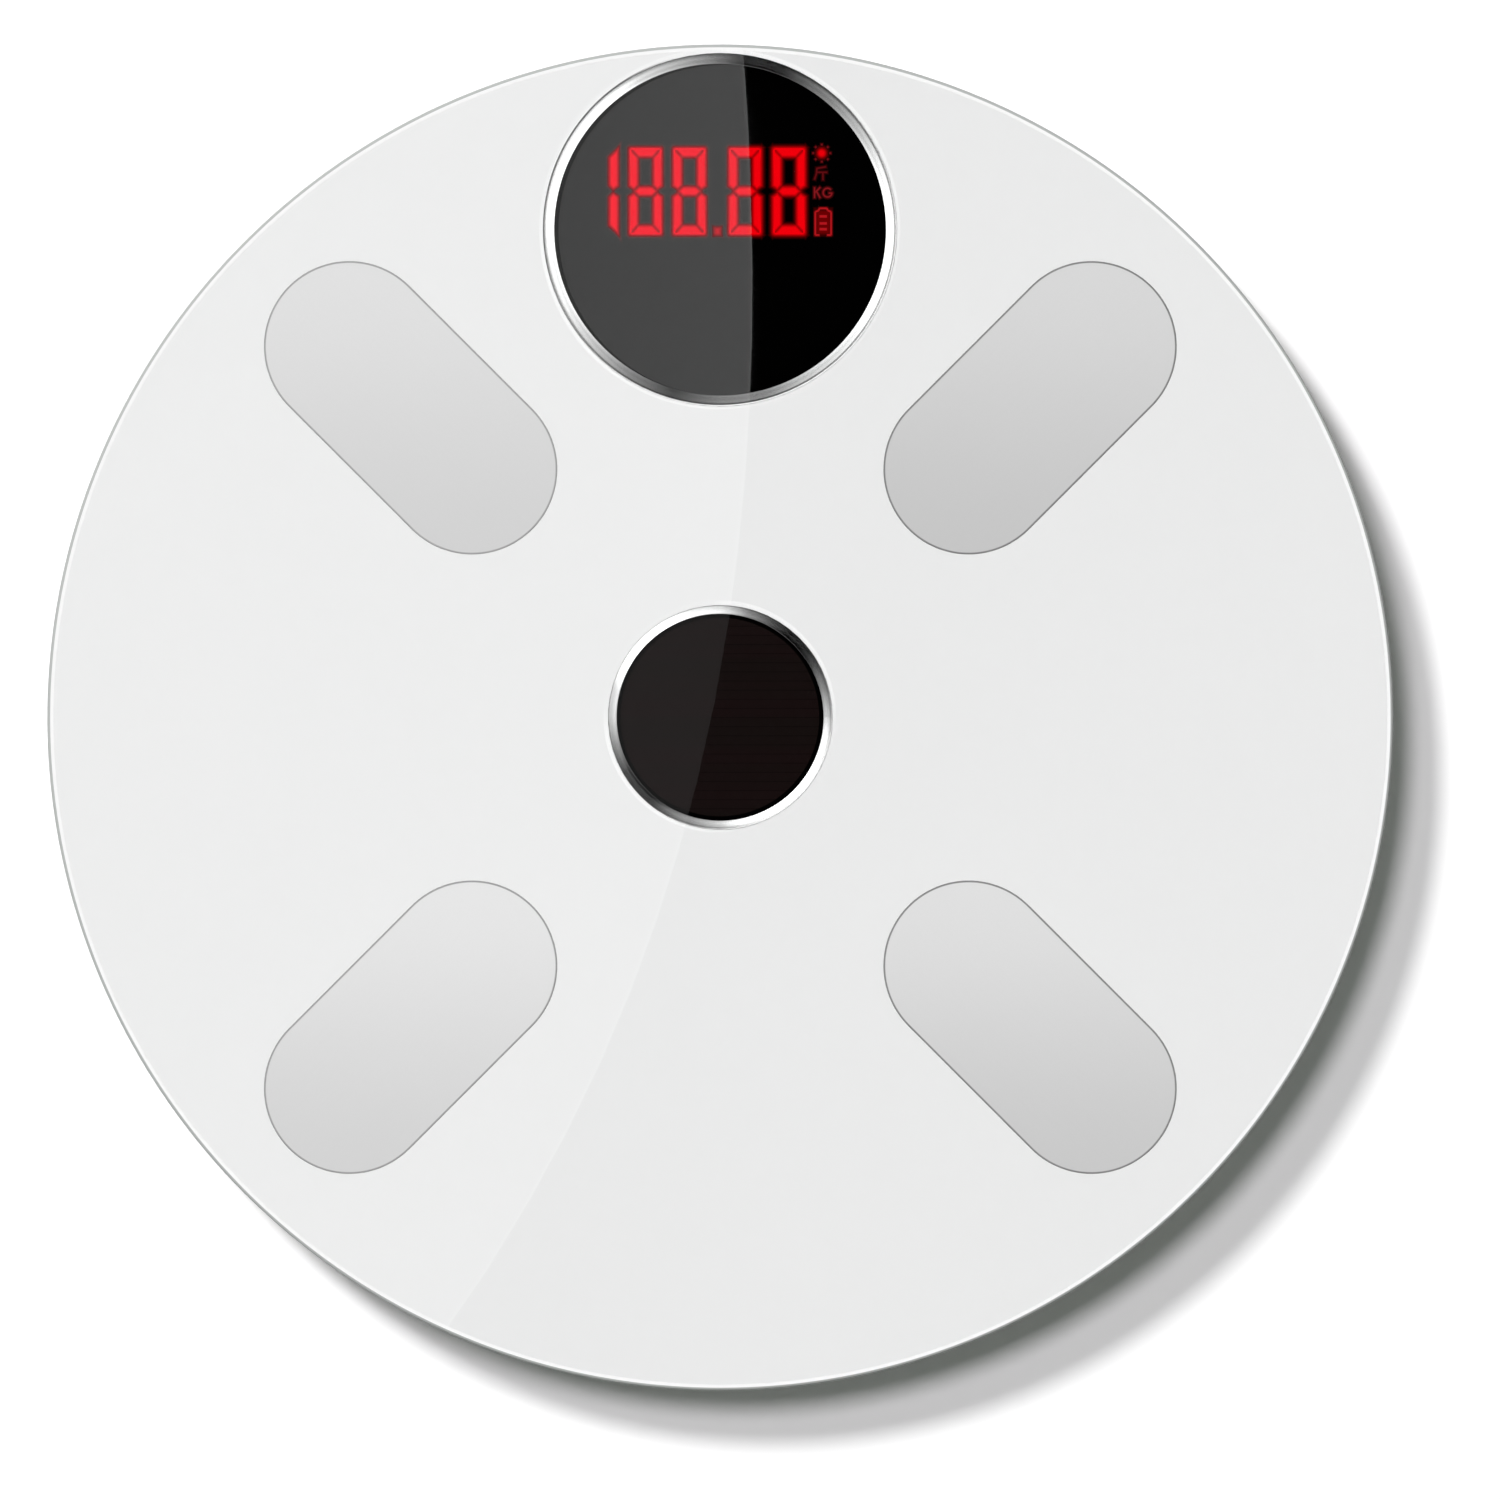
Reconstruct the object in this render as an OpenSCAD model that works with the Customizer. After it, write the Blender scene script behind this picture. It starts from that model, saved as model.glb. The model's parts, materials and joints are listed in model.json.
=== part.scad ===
// Round glass body-composition bathroom scale, in millimetres.
// The origin is on the floor under the middle of the glass, +Z is up and +Y points to the display.

/* [Platform] */
// Diameter of the glass disc
glass_d = 280; // [270:1:340]
// Thickness of the glass
glass_t = 6; // [5:0.5:8]
// Rounding of the polished glass edge
glass_edge_r = 0.6; // [0.5:0.1:2.4]
// Thickness of the print on the underside of the glass
print_t = 0.15; // [0.1:0.05:0.4]
// How far the print stops short of the glass edge
print_inset = 0.5; // [0.5:0.1:3]
// Thickness of the foam tape that bonds the glass to the tray
tape_t = 0.8; // [0.6:0.1:1.5]
// Width of the foam tape
tape_w = 6.4; // [4:0.1:7]

/* [Tray] */
// Height of the tray's underside above the floor
floor_gap = 4.6; // [4:0.1:8]
// Height of the tray
tray_h = 13.6; // [13.5:0.1:16.5]
// Wall and floor thickness of the tray
shell_t = 2; // [1.6:0.1:2.4]
// Radius of the curve between the tray's floor and wall
bend_r = 14; // [13:0.5:20]
// How far the tray's flange stops short of the glass edge
flange_inset = 0.6; // [0.4:0.1:1]
// How far the flange stands out from the wall
flange_w = 6.4; // [5:0.1:10]
// Thickness of the flange
flange_t = 1.6; // [1.5:0.1:2.4]
// Height of the stiffening ribs above the tray floor
rib_h = 2; // [1:0.1:2.4]
// Thickness of the stiffening ribs
rib_t = 1.4; // [1:0.1:2]
// Number of radial ribs
rib_count = 24; // [12:4:36]

/* [Windows] */
// Outer diameter of the display ring
display_ring_d = 73.4; // [60:0.2:76]
// Width of the display ring's visible face
display_ring_w = 2.2; // [1.5:0.1:3]
// Distance from the display ring to the glass edge
display_edge_gap = 1.8; // [1.8:0.1:12]
// Thickness of the smoked display lens
lens_t = 1; // [0.8:0.1:1.5]
// Outer diameter of the solar ring
solar_ring_d = 46.6; // [40:0.2:48]
// Width of the solar ring's visible face
solar_ring_w = 1.8; // [1.5:0.1:3]
// Thickness of the solar cell
solar_t = 1.1; // [0.8:0.1:1.4]
// Height of the polished rings
ring_h = 0.75; // [0.5:0.05:0.9]
// Fall of the rings' sloping face, from outside to inside
ring_fall = 0.5; // [0.2:0.05:0.6]

/* [Digits] */
// Height of a digit
digit_h = 19; // [15:0.5:20]
// Width of a digit
digit_w = 7.6; // [6.4:0.1:8]
// Width of a lit segment
segment_w = 2.4; // [1.6:0.1:2.6]
// Gap between two segments
segment_gap = 0.35; // [0.25:0.05:0.6]
// Distance between neighbouring digits
digit_pitch = 9.2; // [8.8:0.1:9.6]
// Distance between the two digits beside the decimal point
point_pitch = 11.6; // [11.4:0.1:12.4]
// How far the digits lie from the middle of the display
digit_rise = 7.9; // [5:0.1:9]

/* [Electrodes] */
// Length of an electrode
electrode_l = 71.6; // [60:0.1:76]
// Width of an electrode
electrode_w = 35.5; // [24:0.1:38]
// Thickness of an electrode
electrode_t = 0.5; // [0.4:0.1:1]
// Bevel along an electrode's upper edge
electrode_bevel = 0.15; // [0.05:0.05:0.3]
// Distance from an electrode's outer end to the glass edge
electrode_inset = 13.1; // [8:0.1:20]
// Diameter of the electrode's welded stud
stud_d = 3; // [2.5:0.1:4]
// Diameter of the stud holes in the glass
stud_hole_d = 6; // [5.6:0.1:8]

/* [Load cells] */
// Side of a load cell's steel plate
cell_side = 34; // [32:0.5:36]
// Thickness of a load cell's steel plate
cell_t = 2; // [1.6:0.1:2.4]
// Width of the plate's outer frame
cell_frame_w = 4.5; // [3.5:0.1:5]
// Width of the bending beam
beam_w = 9; // [7:0.1:11]
// Height of the load cell above the tray floor
cell_lift = 2.6; // [2.4:0.1:3.2]
// Thickness of the bracket's plate
bracket_t = 2; // [1.6:0.1:2.6]
// Outer diameter of the bracket's ring that meets the glass
bracket_ring_d = 33.8; // [30:0.2:36]

/* [Feet] */
// Distance from a foot's middle to the glass edge
foot_inset = 38.2; // [36:0.1:60]
// Diameter of a foot
foot_d = 38; // [34:0.5:42]
// Thickness of a foot's plate and rim
foot_t = 3; // [2.4:0.1:3.1]
// Gap between a foot's plate and the tray
foot_gap = 0.4; // [0.3:0.1:0.8]
// Thickness of the rubber pad
pad_t = 2; // [1.6:0.1:2.2]
// How far the rubber pad stands out of its foot
pad_proud = 1.2; // [0.8:0.1:1.4]
// Width of the rim around the rubber pad
pad_rim = 1.8; // [1.4:0.1:3]
// Diameter of the neck that passes through the tray
neck_d = 23.6; // [20:0.2:24]
// How far a foot drops when the scale is lifted
foot_play = 0.4; // [0.3:0.1:0.6]

/* [Batteries] */
// Diameter of a battery cell
battery_d = 10.5; // [10.3:0.1:10.5]
// Length of a battery cell with its cap
battery_l = 44.5; // [43.5:0.1:45]
// Room for a contact spring
spring_room = 6.5; // [5:0.1:8]
// Thickness of the battery cover
cover_t = 1.6; // [1.4:0.1:1.8]
// Distance from the middle of the scale to the middle of the battery bay
bay_offset = 50; // [50:1:56]

/* [Electronics] */
// Width of the main board
board_w = 60; // [56:1:70]
// Depth of the main board
board_d = 28; // [26:1:30]
// Thickness of the circuit boards
board_t = 1.6; // [1:0.1:1.6]
// Distance from the middle of the scale to the middle of the main board
board_offset = 45; // [43:1:47]
// Height of the main board above the tray floor
board_lift = 3.6; // [3.4:0.1:4.2]
// Diameter of the unit button
button_d = 9; // [7:0.1:11]
// Travel of the unit button
button_travel = 0.5; // [0.3:0.1:0.6]

/* [Fits] */
// Gap between pieces that drop into each other
fit_gap = 0.3; // [0.2:0.05:0.4]
// Gap around a screw in its pilot hole
screw_gap = 0.05; // [0.02:0.01:0.1]
// Gap between the print and the glass
skin_gap = 0.05; // [0.02:0.01:0.1]

/* [Hidden] */
$fn = 64;

// Directions of the four corners, seen from above
rear_right = 45;
rear_left = 135;
front_left = 225;
front_right = 315;
CORNERS = [rear_right, rear_left, front_left, front_right];
SIDES = [-1, 1];
over = 1;

// Heights of the stack, from the floor up
glass_r = glass_d / 2;
tray_z = floor_gap;
floor_top = tray_z + shell_t;
rim_z = tray_z + tray_h;
flange_z = rim_z - flange_t;
print_z = rim_z + tape_t;
print_top = print_z + print_t;
glass_z = print_top + skin_gap;
glass_top = glass_z + glass_t;

// Outline of the tray
flange_r = glass_r - flange_inset;
wall_r = flange_r - flange_w;
bend_z = tray_z + bend_r;
bend_x = wall_r - sqrt(pow(bend_r, 2) - pow(bend_z - flange_z, 2));
RIB_RINGS = [0.45, 0.7];

// Windows with their rings
display_r = display_ring_d / 2;
display_y = glass_r - display_edge_gap - display_r;
solar_r = solar_ring_d / 2;
ring_z = print_top - ring_h;
lens_z = ring_z - lens_t;
solar_z = ring_z - solar_t;
window_gap = 0.1;
well_gap = 0.25;
well_wall = 1.6;
well_ledge = 3.1;
well_tube_t = 2;
well_depth = 2.4;
tape_inset = 0.5;

// Display module under the lens
reflector_w = 50;
reflector_d = 22;
lens_gap = 0.2;
display_board_w = 52;
display_board_d = 34;
display_board_shift = 5;
display_board_lift = 2.8;
display_board_z = floor_top + display_board_lift;
reflector_z = display_board_z + board_t;
reflector_top = lens_z - lens_gap;
segment_depth = 3;
segment_fit = 0.1;
module_y = display_y + digit_rise;
display_board_y = module_y - display_board_shift;
display_hole_x = 21;
display_hole_drop = 16.5;
display_hole_y = module_y - display_hole_drop;
display_rest_x = 18;
display_rest_rise = 8;
display_rest_y = module_y + display_rest_rise;
point_x = -0.6;
one_step = 9.2;
point_side = 2;
first_digit_x = point_x - point_pitch / 2 - digit_pitch;
DIGIT_X = [
    first_digit_x,
    first_digit_x + digit_pitch,
    first_digit_x + digit_pitch + point_pitch,
    first_digit_x + 2 * digit_pitch + point_pitch
];

// Electrodes and their fastenings
electrode_r = glass_r - electrode_inset - electrode_l / 2;
end_offset = (electrode_l - electrode_w) / 2;
stud_r = electrode_r - end_offset;
bush_flange_d = 10;
bush_flange_t = 0.8;
bush_reach = 4;
bush_gap = 0.2;
bush_z = print_z - bush_flange_t;
terminal_t = 0.5;
terminal_d = 8;
terminal_z = bush_z - terminal_t;
terminal_reach = 10;
terminal_tongue_w = 3;
barrel_d = 2;
barrel_l = 4;
nut_af = 5.5;
nut_h = 2.4;
nut_z = terminal_z - nut_h;
stud_tip = 1;
thread_gap = 0.1;

// Load cells and brackets
cell_z = floor_top + cell_lift;
cell_corner_r = 5;
cell_window = cell_side - 2 * cell_frame_w;
window_corner_r = 4;
beam_l = 9.5;
tongue_end_gap = 4.5;
tongue_side_gap = 5;
tongue_l = cell_window - beam_l - tongue_end_gap;
tongue_w = cell_window - 2 * tongue_side_gap;
coating_l = 7;
coating_w = 7;
coating_t = 1.2;
coating_start = 3.2;
coating_corner_r = 2;
locator_t = 1.9;
locator_h = 1.8;
cell_ledge = 2;
bracket_z = cell_z + cell_t;
bracket_margin = 2;
bracket_side = cell_side + 2 * bracket_margin;
bracket_corner_r = 6;
bracket_ring_t = 2;
bracket_window_gap = 0.4;
ear_margin = 3.6;
ear_offset = cell_side / 2 + fit_gap + locator_t + ear_margin;
ear_r = 4;
boss_d = 6.4;
notch_w = 6;
gusset_t = 1.6;
gusset_reach = 5;
gusset_h = 4.6;

// Screws that hold the boards and brackets
screw_d = 2.4;
screw_hole_d = 2.8;
screw_head_d = 5;
screw_head_h = 1.8;
bracket_screw_l = 5.6;
board_screw_l = 4.2;
pilot_spare = 0.4;
pilot_d = screw_d + 2 * screw_gap;

// Feet
foot_r = glass_r - foot_inset;
foot_top = tray_z - foot_gap;
foot_z = foot_top - foot_t;
foot_edge_r = 1.2;
pad_d = foot_d - 2 * pad_rim;
pad_z = foot_z - pad_proud;
neck_t = 1.6;
neck_gap = 0.4;
hook_gap = 0.1;
hook_reach = 1.4;
hook_h = 1;
hook_z = floor_top + foot_play + hook_gap;
finger_count = 3;
finger_slot_w = 6;
boss_r = 4.5;
foot_rib_count = 6;
foot_rib_t = 1.2;
foot_rib_h = 1.6;
groove_w = 1;
groove_depth = 0.5;
groove_pitch = 3;
groove_count = 4;
pad_chamfer = 0.4;

// Battery bay and cover
battery_gap = 0.7;
battery_step = battery_d + battery_gap;
battery_nub_d = 3.8;
battery_nub_h = 1;
battery_edge_r = 0.6;
contact_t = 0.4;
contact_w = 9;
contact_h = 8.5;
contact_slack = 0.1;
bay_l = battery_l + spring_room + 2 * contact_t + 2 * contact_slack;
bay_slack = 1.5;
bay_w = battery_step + battery_d + bay_slack;
bay_wall = 1.6;
bay_roof = 1.2;
cover_ledge_gap = 0.2;
cover_margin = 2;
cover_corner_r = 2;
cover_l = bay_l + 2 * cover_margin;
cover_w = bay_w + 2 * cover_margin;
bay_floor = tray_z + cover_t + cover_ledge_gap;
battery_z = tray_z + cover_t + fit_gap + battery_d / 2;
bay_top = battery_z + battery_d / 2 + cover_ledge_gap;
bay_y = -bay_offset;
cover_edge_y = bay_y - cover_w / 2;
tab_w = 8;
tab_l = 2.2;
tab_t = 1;
tab_spread = 16;
lip_t = 0.8;
tab_gap = 0.2;
tab_z = tray_z + lip_t + tab_gap;
tab_swing = 3.4;
pocket_wall = 1.2;
latch_w = 13;
latch_reach = 5;
latch_slot = 0.8;
latch_leg_t = 0.9;
latch_h = 6;
latch_nose = 0.5;
latch_nose_z = 1;
latch_nose_h = 1.6;
latch_clear = 1;
catch_gap = 0.3;
grip_count = 3;
grip_pitch = 1.1;
grip_depth = 0.3;
grip_w = 0.5;
grip_l = 8;
grip_start = 5;
spring_wire_d = 0.7;
spring_turns = 4;
spring_wide_r = 3.6;
spring_tip_r = 2.4;
spring_steps = 10;
solder_tab_w = 4;
solder_tab_l = 5;
tab_drop = 2;

// Main board and what stands on it
board_z = floor_top + board_lift;
board_top = board_z + board_t;
board_hole_x = 22.5;
board_hole_inset = 3.2;
board_corner_r = 2;
switch_side = 6;
switch_h = 1.8;
plunger_d = 3.2;
plunger_bore_d = 3.6;
plunger_bore_h = 1.5;
plunger_h = 1.6;
button_x = -14;
button_y = board_offset;
button_sink = 0.4;
button_gap = 0.3;
button_flange_w = 1.5;
button_flange_t = 0.8;
button_flange_gap = 0.1;
dish_d = 16;
dish_fall = 1.5;
dish_depth = 0.6;
switch_z = board_z - switch_h;
plunger_bottom = switch_z - (plunger_h - plunger_bore_h + button_travel + button_flange_gap);
plug_pitch = 1.5;
plug_margin = 1.1;
plug_depth = 5;
plug_h = 3.6;
plug_bore_d = 1.3;
plug_bore_l = 1;
plug_edge = 0.6;
plug_overhang = 1;
cell_plug_shift = 8.5;
cell_plug_pitch = 8;
electrode_plug_shift = 0.5;
battery_plug_x = 12;
wire_d = 1;
wire_sides = 8;

// Wire routes of the right-hand side, as the wires are laid
REAR_CELL_ROUTE = [
    [64.6, 64.6, 12.3], [61, 61, 12.3], [57, 57.6, 12.3], [50, 56, 11.6],
    [42, 54, 12.6], [37, 53.5, 13.6], [33.5, 53.5, 13.6], [30, 53.5, 13.6]
];
FRONT_CELL_ROUTE = [
    [64.6, -64.6, 12.3], [61, -61, 12.3], [57, -56, 12.2], [52, -44, 11], [48, -20, 10.4],
    [47, 8, 10.4], [43, 27, 11], [39, 35, 12.6], [36, 37.5, 13.6],
    [33, 37.5, 13.6], [30, 37.5, 13.6]
];
REAR_ELECTRODE_ROUTE = [
    [44.5, 44.5, 17.95], [42, 43, 17.4], [39, 43.6, 15.4], [36.6, 45.4, 14],
    [34, 46.25, 13.6], [32, 46.25, 13.6], [30, 46.25, 13.6]
];
FRONT_ELECTRODE_ROUTE = [
    [44.5, -44.5, 17.95], [42.4, -40, 17.2], [41.4, -30, 15], [41, -12, 14.6], [41, 12, 14.6],
    [41, 32, 15], [38, 42, 14.4], [34.6, 44.75, 13.6],
    [32, 44.75, 13.6], [30, 44.75, 13.6]
];
INNER_BATTERY_ROUTE = [
    [30.5, -44.4, 14.8], [31.3, -44.4, 14.8], [32.1, -44.4, 14.8], [34.6, -41, 13.6], [35, -34, 12],
    [35, -16, 10.6], [34, 6, 10.6], [27, 19, 11.4], [17, 25.4, 12.6], [12, 26.2, 13.4],
    [11.25, 28, 13.6], [11.25, 29.5, 13.6], [11.25, 31, 13.6]
];
OUTER_BATTERY_ROUTE = [
    [30.5, -55.6, 14.8], [31.3, -55.6, 14.8], [32.1, -55.6, 14.8], [36, -52, 13.6], [37, -44, 12],
    [37.4, -16, 10.6], [36, 8, 10.6], [29, 21, 11.4], [19, 26.6, 12.6], [14.4, 27, 13.4],
    [12.75, 28.2, 13.6], [12.75, 29.6, 13.6], [12.75, 31, 13.6]
];
SOLAR_ROUTE = [
    [4, 12, 17.25], [4, 12, 16.2], [3.6, 13.4, 14.6], [1.4, 19, 13.6],
    [0.75, 25, 13.6], [0.75, 28, 13.6], [0.75, 31, 13.6]
];
RIBBON_ROUTE = [
    [57, 11.95], [61, 11.95], [64, 12.5], [72, 12.5], [84, 11.6], [90, 11.15], [95.6, 11.15]
];
ribbon_w = 10;
ribbon_t = 0.3;
ribbon_margin = 2;

// ---------- shared shapes ----------

module at_corner(angle, radius) {
    rotate([0, 0, angle])
        translate([radius, 0, 0])
            children();
}

module rounded_rectangle(width, depth, corner) {
    square([width - 2 * corner, depth], center = true);
    square([width, depth - 2 * corner], center = true);
    for (x = SIDES, y = SIDES)
        translate([x * (width / 2 - corner), y * (depth / 2 - corner)])
            circle(r = corner);
}

module ring(outer, inner, height) {
    difference() {
        cylinder(h = height, r = outer);
        translate([0, 0, -over])
            cylinder(h = height + 2 * over, r = inner);
    }
}

// Disc whose outer edges are rounded
module rounded_disc(radius, height, edge) {
    rotate_extrude($fn = 180) {
        square([radius - edge, height]);
        translate([0, edge])
            square([radius, height - 2 * edge]);
        for (z = [edge, height - edge])
            translate([radius - edge, z])
                circle(r = edge);
    }
}

// Stadium-shaped plate with a bevelled upper edge
module bevelled_stadium(length, width, height, bevel) {
    half = (length - width) / 2;
    shoulder = height - bevel;
    rotate([90, 0, 90])
        translate([0, 0, -half])
            linear_extrude(2 * half)
                polygon([
                    [-width / 2, 0], [width / 2, 0], [width / 2, shoulder],
                    [width / 2 - bevel, height], [bevel - width / 2, height], [-width / 2, shoulder]
                ]);
    for (side = SIDES)
        translate([side * half, 0, 0]) {
            cylinder(h = shoulder, d = width);
            translate([0, 0, shoulder])
                cylinder(h = bevel, d1 = width, d2 = width - 2 * bevel);
        }
}

function unit(v) = v / norm(v);
function tangent(path, i) = unit(path[min(i + 1, len(path) - 1)] - path[max(i - 1, 0)]);
function square_to(v, axis) = unit(v - (v * axis) * axis);
function side_vectors(path, i, last) =
    i == len(path) ? [] :
    let (side = square_to(last, tangent(path, i)))
    concat([side], side_vectors(path, i + 1, side));

// Round tube of constant thickness along a path
module tube(path, diameter, sides) {
    seed = abs(tangent(path, 0).z) > 0.9 ? [1, 0, 0] : [0, 0, 1];
    across = side_vectors(path, 0, seed);
    points = [
        for (i = [0 : len(path) - 1])
            let (t = tangent(path, i), a = across[i], b = cross(t, a))
            for (k = [0 : sides - 1])
                path[i] + diameter / 2 * (cos(360 * k / sides) * a + sin(360 * k / sides) * b)
    ];
    walls = [
        for (i = [0 : len(path) - 2], k = [0 : sides - 1])
            let (n = (k + 1) % sides, low = i * sides, high = low + sides)
            [low + k, high + k, high + n, low + n]
    ];
    start_cap = [for (k = [0 : sides - 1]) k];
    end_cap = [for (k = [1 : sides]) len(path) * sides - k];
    polyhedron(points, concat([start_cap], walls, [end_cap]));
}

// Point between two others on a smooth curve through four
function blend(a, b, c, d, t) =
    0.5 * (2 * b + (c - a) * t + (2 * a - 5 * b + 4 * c - d) * t * t + (3 * b - a - 3 * c + d) * t * t * t);
function smooth(path) = concat(
    [for (i = [0 : len(path) - 2], t = [0, 0.5])
        blend(path[max(i - 1, 0)], path[i], path[i + 1], path[min(i + 2, len(path) - 1)], t)],
    [path[len(path) - 1]]
);
// Route beside another, at a level distance from it
function beside(path, shift) = [
    for (i = [0 : len(path) - 1])
        let (t = tangent(path, i))
        path[i] + shift * unit([-t.y, t.x, 0])
];

module wire(route) {
    tube(smooth(route), wire_d, wire_sides);
}

// Pan-head screw with its head resting on z = 0
module screw(shank_l) {
    recess_w = 0.7;
    recess_l = 3;
    recess_depth = 0.8;
    difference() {
        union() {
            cylinder(h = screw_head_h, d = screw_head_d);
            translate([0, 0, -shank_l])
                cylinder(h = shank_l + screw_head_h / 2, d = screw_d);
        }
        for (turn = [0, 90])
            rotate([0, 0, turn])
                translate([0, 0, screw_head_h])
                    cube([recess_l, recess_w, 2 * recess_depth], center = true);
    }
}

// ---------- platform ----------

module glass_platform() {
    color([0.8, 0.92, 0.88, 0.5])
        difference() {
            translate([0, 0, glass_z])
                rounded_disc(glass_r, glass_t, glass_edge_r);
            for (angle = CORNERS)
                at_corner(angle, stud_r)
                    translate([0, 0, glass_z - over])
                        cylinder(h = glass_t + 2 * over, d = stud_hole_d);
        }
}

module back_print() {
    color("white")
        translate([0, 0, print_z])
            difference() {
                cylinder(h = print_t, r = glass_r - print_inset, $fn = 180);
                translate([0, display_y, -over])
                    cylinder(h = print_t + 2 * over, r = display_r + window_gap, $fn = 120);
                translate([0, 0, -over])
                    cylinder(h = print_t + 2 * over, r = solar_r + window_gap, $fn = 120);
                for (angle = CORNERS)
                    at_corner(angle, stud_r)
                        translate([0, 0, -over])
                            cylinder(h = print_t + 2 * over, d = stud_hole_d);
            }
}

module mounting_tape() {
    tape_r = flange_r - tape_inset;
    color("gainsboro")
        translate([0, 0, rim_z])
            difference() {
                cylinder(h = tape_t, r = tape_r, $fn = 180);
                translate([0, 0, -over])
                    cylinder(h = tape_t + 2 * over, r = tape_r - tape_w, $fn = 180);
                translate([0, display_y, -over])
                    cylinder(h = tape_t + 2 * over, r = display_r + tape_inset, $fn = 120);
            }
}

module electrode(angle) {
    color("silver")
        at_corner(angle, electrode_r) {
            translate([0, 0, glass_top])
                bevelled_stadium(electrode_l, electrode_w, electrode_t, electrode_bevel);
            translate([-end_offset, 0, nut_z - stud_tip])
                cylinder(h = glass_top - nut_z + stud_tip + electrode_t / 2, d = stud_d);
        }
}

module electrode_bushes() {
    color("ivory")
        for (angle = CORNERS)
            at_corner(angle, stud_r)
                translate([0, 0, bush_z])
                    difference() {
                        union() {
                            cylinder(h = bush_flange_t, d = bush_flange_d);
                            cylinder(h = bush_flange_t + bush_reach, d = stud_hole_d - 2 * bush_gap);
                        }
                        translate([0, 0, -over])
                            cylinder(h = bush_reach + 3 * over, d = stud_d + 2 * thread_gap);
                    }
}

module electrode_terminals() {
    color("goldenrod")
        for (angle = CORNERS)
            at_corner(angle, stud_r)
                translate([0, 0, terminal_z]) {
                    difference() {
                        union() {
                            cylinder(h = terminal_t, d = terminal_d);
                            translate([-terminal_reach + barrel_l / 2, -terminal_tongue_w / 2, 0])
                                cube([terminal_reach - barrel_l / 2, terminal_tongue_w, terminal_t]);
                        }
                        translate([0, 0, -over])
                            cylinder(h = terminal_t + 2 * over, d = stud_d + 2 * thread_gap);
                    }
                    translate([-terminal_reach, 0, terminal_t / 2])
                        rotate([0, 90, 0])
                            cylinder(h = barrel_l, d = barrel_d);
                }
}

module electrode_nuts() {
    color("silver")
        for (angle = CORNERS)
            at_corner(angle, stud_r)
                translate([0, 0, nut_z])
                    difference() {
                        cylinder(h = nut_h, d = nut_af / cos(30), $fn = 6);
                        translate([0, 0, -over])
                            cylinder(h = nut_h + 2 * over, d = stud_d + 2 * thread_gap);
                    }
}

module electrode_wires() {
    color("dimgray")
        for (side = [0, 1])
            mirror([side, 0, 0]) {
                wire(REAR_ELECTRODE_ROUTE);
                wire(FRONT_ELECTRODE_ROUTE);
            }
}

// ---------- windows ----------

// Polished ring whose face slopes down to the window
module polished_ring(radius, width) {
    rotate_extrude($fn = 180)
        polygon([
            [radius - width, 0], [radius, 0], [radius, ring_h],
            [radius - width / 8, ring_h], [radius - width, ring_h - ring_fall]
        ]);
}

module display_ring() {
    color("silver")
        translate([0, display_y, ring_z])
            polished_ring(display_r, display_ring_w);
}

module display_lens() {
    color([0.05, 0.05, 0.06])
        translate([0, display_y, lens_z])
            cylinder(h = lens_t, r = display_r, $fn = 120);
}

module solar_ring() {
    color("silver")
        translate([0, 0, ring_z])
            polished_ring(solar_r, solar_ring_w);
}

module solar_cell() {
    color([0.1, 0.08, 0.08])
        translate([0, 0, solar_z])
            cylinder(h = solar_t, r = solar_r, $fn = 120);
}

module solar_leads() {
    color("firebrick")
        for (side = [0, 1])
            mirror([side, 0, 0])
                wire(SOLAR_ROUTE);
}

// Bars of one digit about its middle: level ones at the ends and in the middle, upright ones at the sides
module end_bar(width, height, stroke, gap) {
    polygon([
        [gap - width / 2, height / 2], [width / 2 - gap, height / 2],
        [width / 2 - stroke - gap, height / 2 - stroke], [stroke + gap - width / 2, height / 2 - stroke]
    ]);
}

module middle_bar(width, stroke, gap) {
    tip = width / 2 - stroke / 2 - gap;
    polygon([
        [-tip, 0], [stroke / 2 - tip, stroke / 2], [tip - stroke / 2, stroke / 2],
        [tip, 0], [tip - stroke / 2, -stroke / 2], [stroke / 2 - tip, -stroke / 2]
    ]);
}

module side_bar(width, height, stroke, gap) {
    inner = width / 2 - stroke;
    polygon([
        [width / 2, height / 2 - gap], [inner, height / 2 - stroke - gap],
        [inner, stroke / 2 + gap], [inner + stroke / 2, gap], [width / 2, stroke / 2 + gap]
    ]);
}

module right_side_bars(width, height, stroke, gap) {
    side_bar(width, height, stroke, gap);
    mirror([0, 1])
        side_bar(width, height, stroke, gap);
}

module digit(width, height, stroke, gap) {
    end_bar(width, height, stroke, gap);
    mirror([0, 1])
        end_bar(width, height, stroke, gap);
    middle_bar(width, stroke, gap);
    right_side_bars(width, height, stroke, gap);
    mirror([1, 0])
        right_side_bars(width, height, stroke, gap);
}

// Outline of every segment, grown on all sides by a fit
module segment_outline(grow) {
    width = digit_w + 2 * grow;
    height = digit_h + 2 * grow;
    stroke = segment_w + 2 * grow;
    gap = segment_gap - grow;
    for (x = DIGIT_X)
        translate([x, 0])
            digit(width, height, stroke, gap);
    translate([first_digit_x - one_step, 0])
        right_side_bars(width, height, stroke, gap);
    translate([point_x, (point_side - digit_h) / 2])
        square(point_side + 2 * grow, center = true);
}

module display_segments() {
    color("red")
        translate([0, module_y, reflector_top - segment_depth])
            linear_extrude(segment_depth)
                segment_outline(0);
}

module display_reflector() {
    color([0.15, 0.15, 0.15])
        difference() {
            translate([-reflector_w / 2, module_y - reflector_d / 2, reflector_z])
                cube([reflector_w, reflector_d, reflector_top - reflector_z]);
            translate([0, module_y, reflector_top - segment_depth])
                linear_extrude(segment_depth + over)
                    segment_outline(segment_fit);
        }
}

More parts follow.
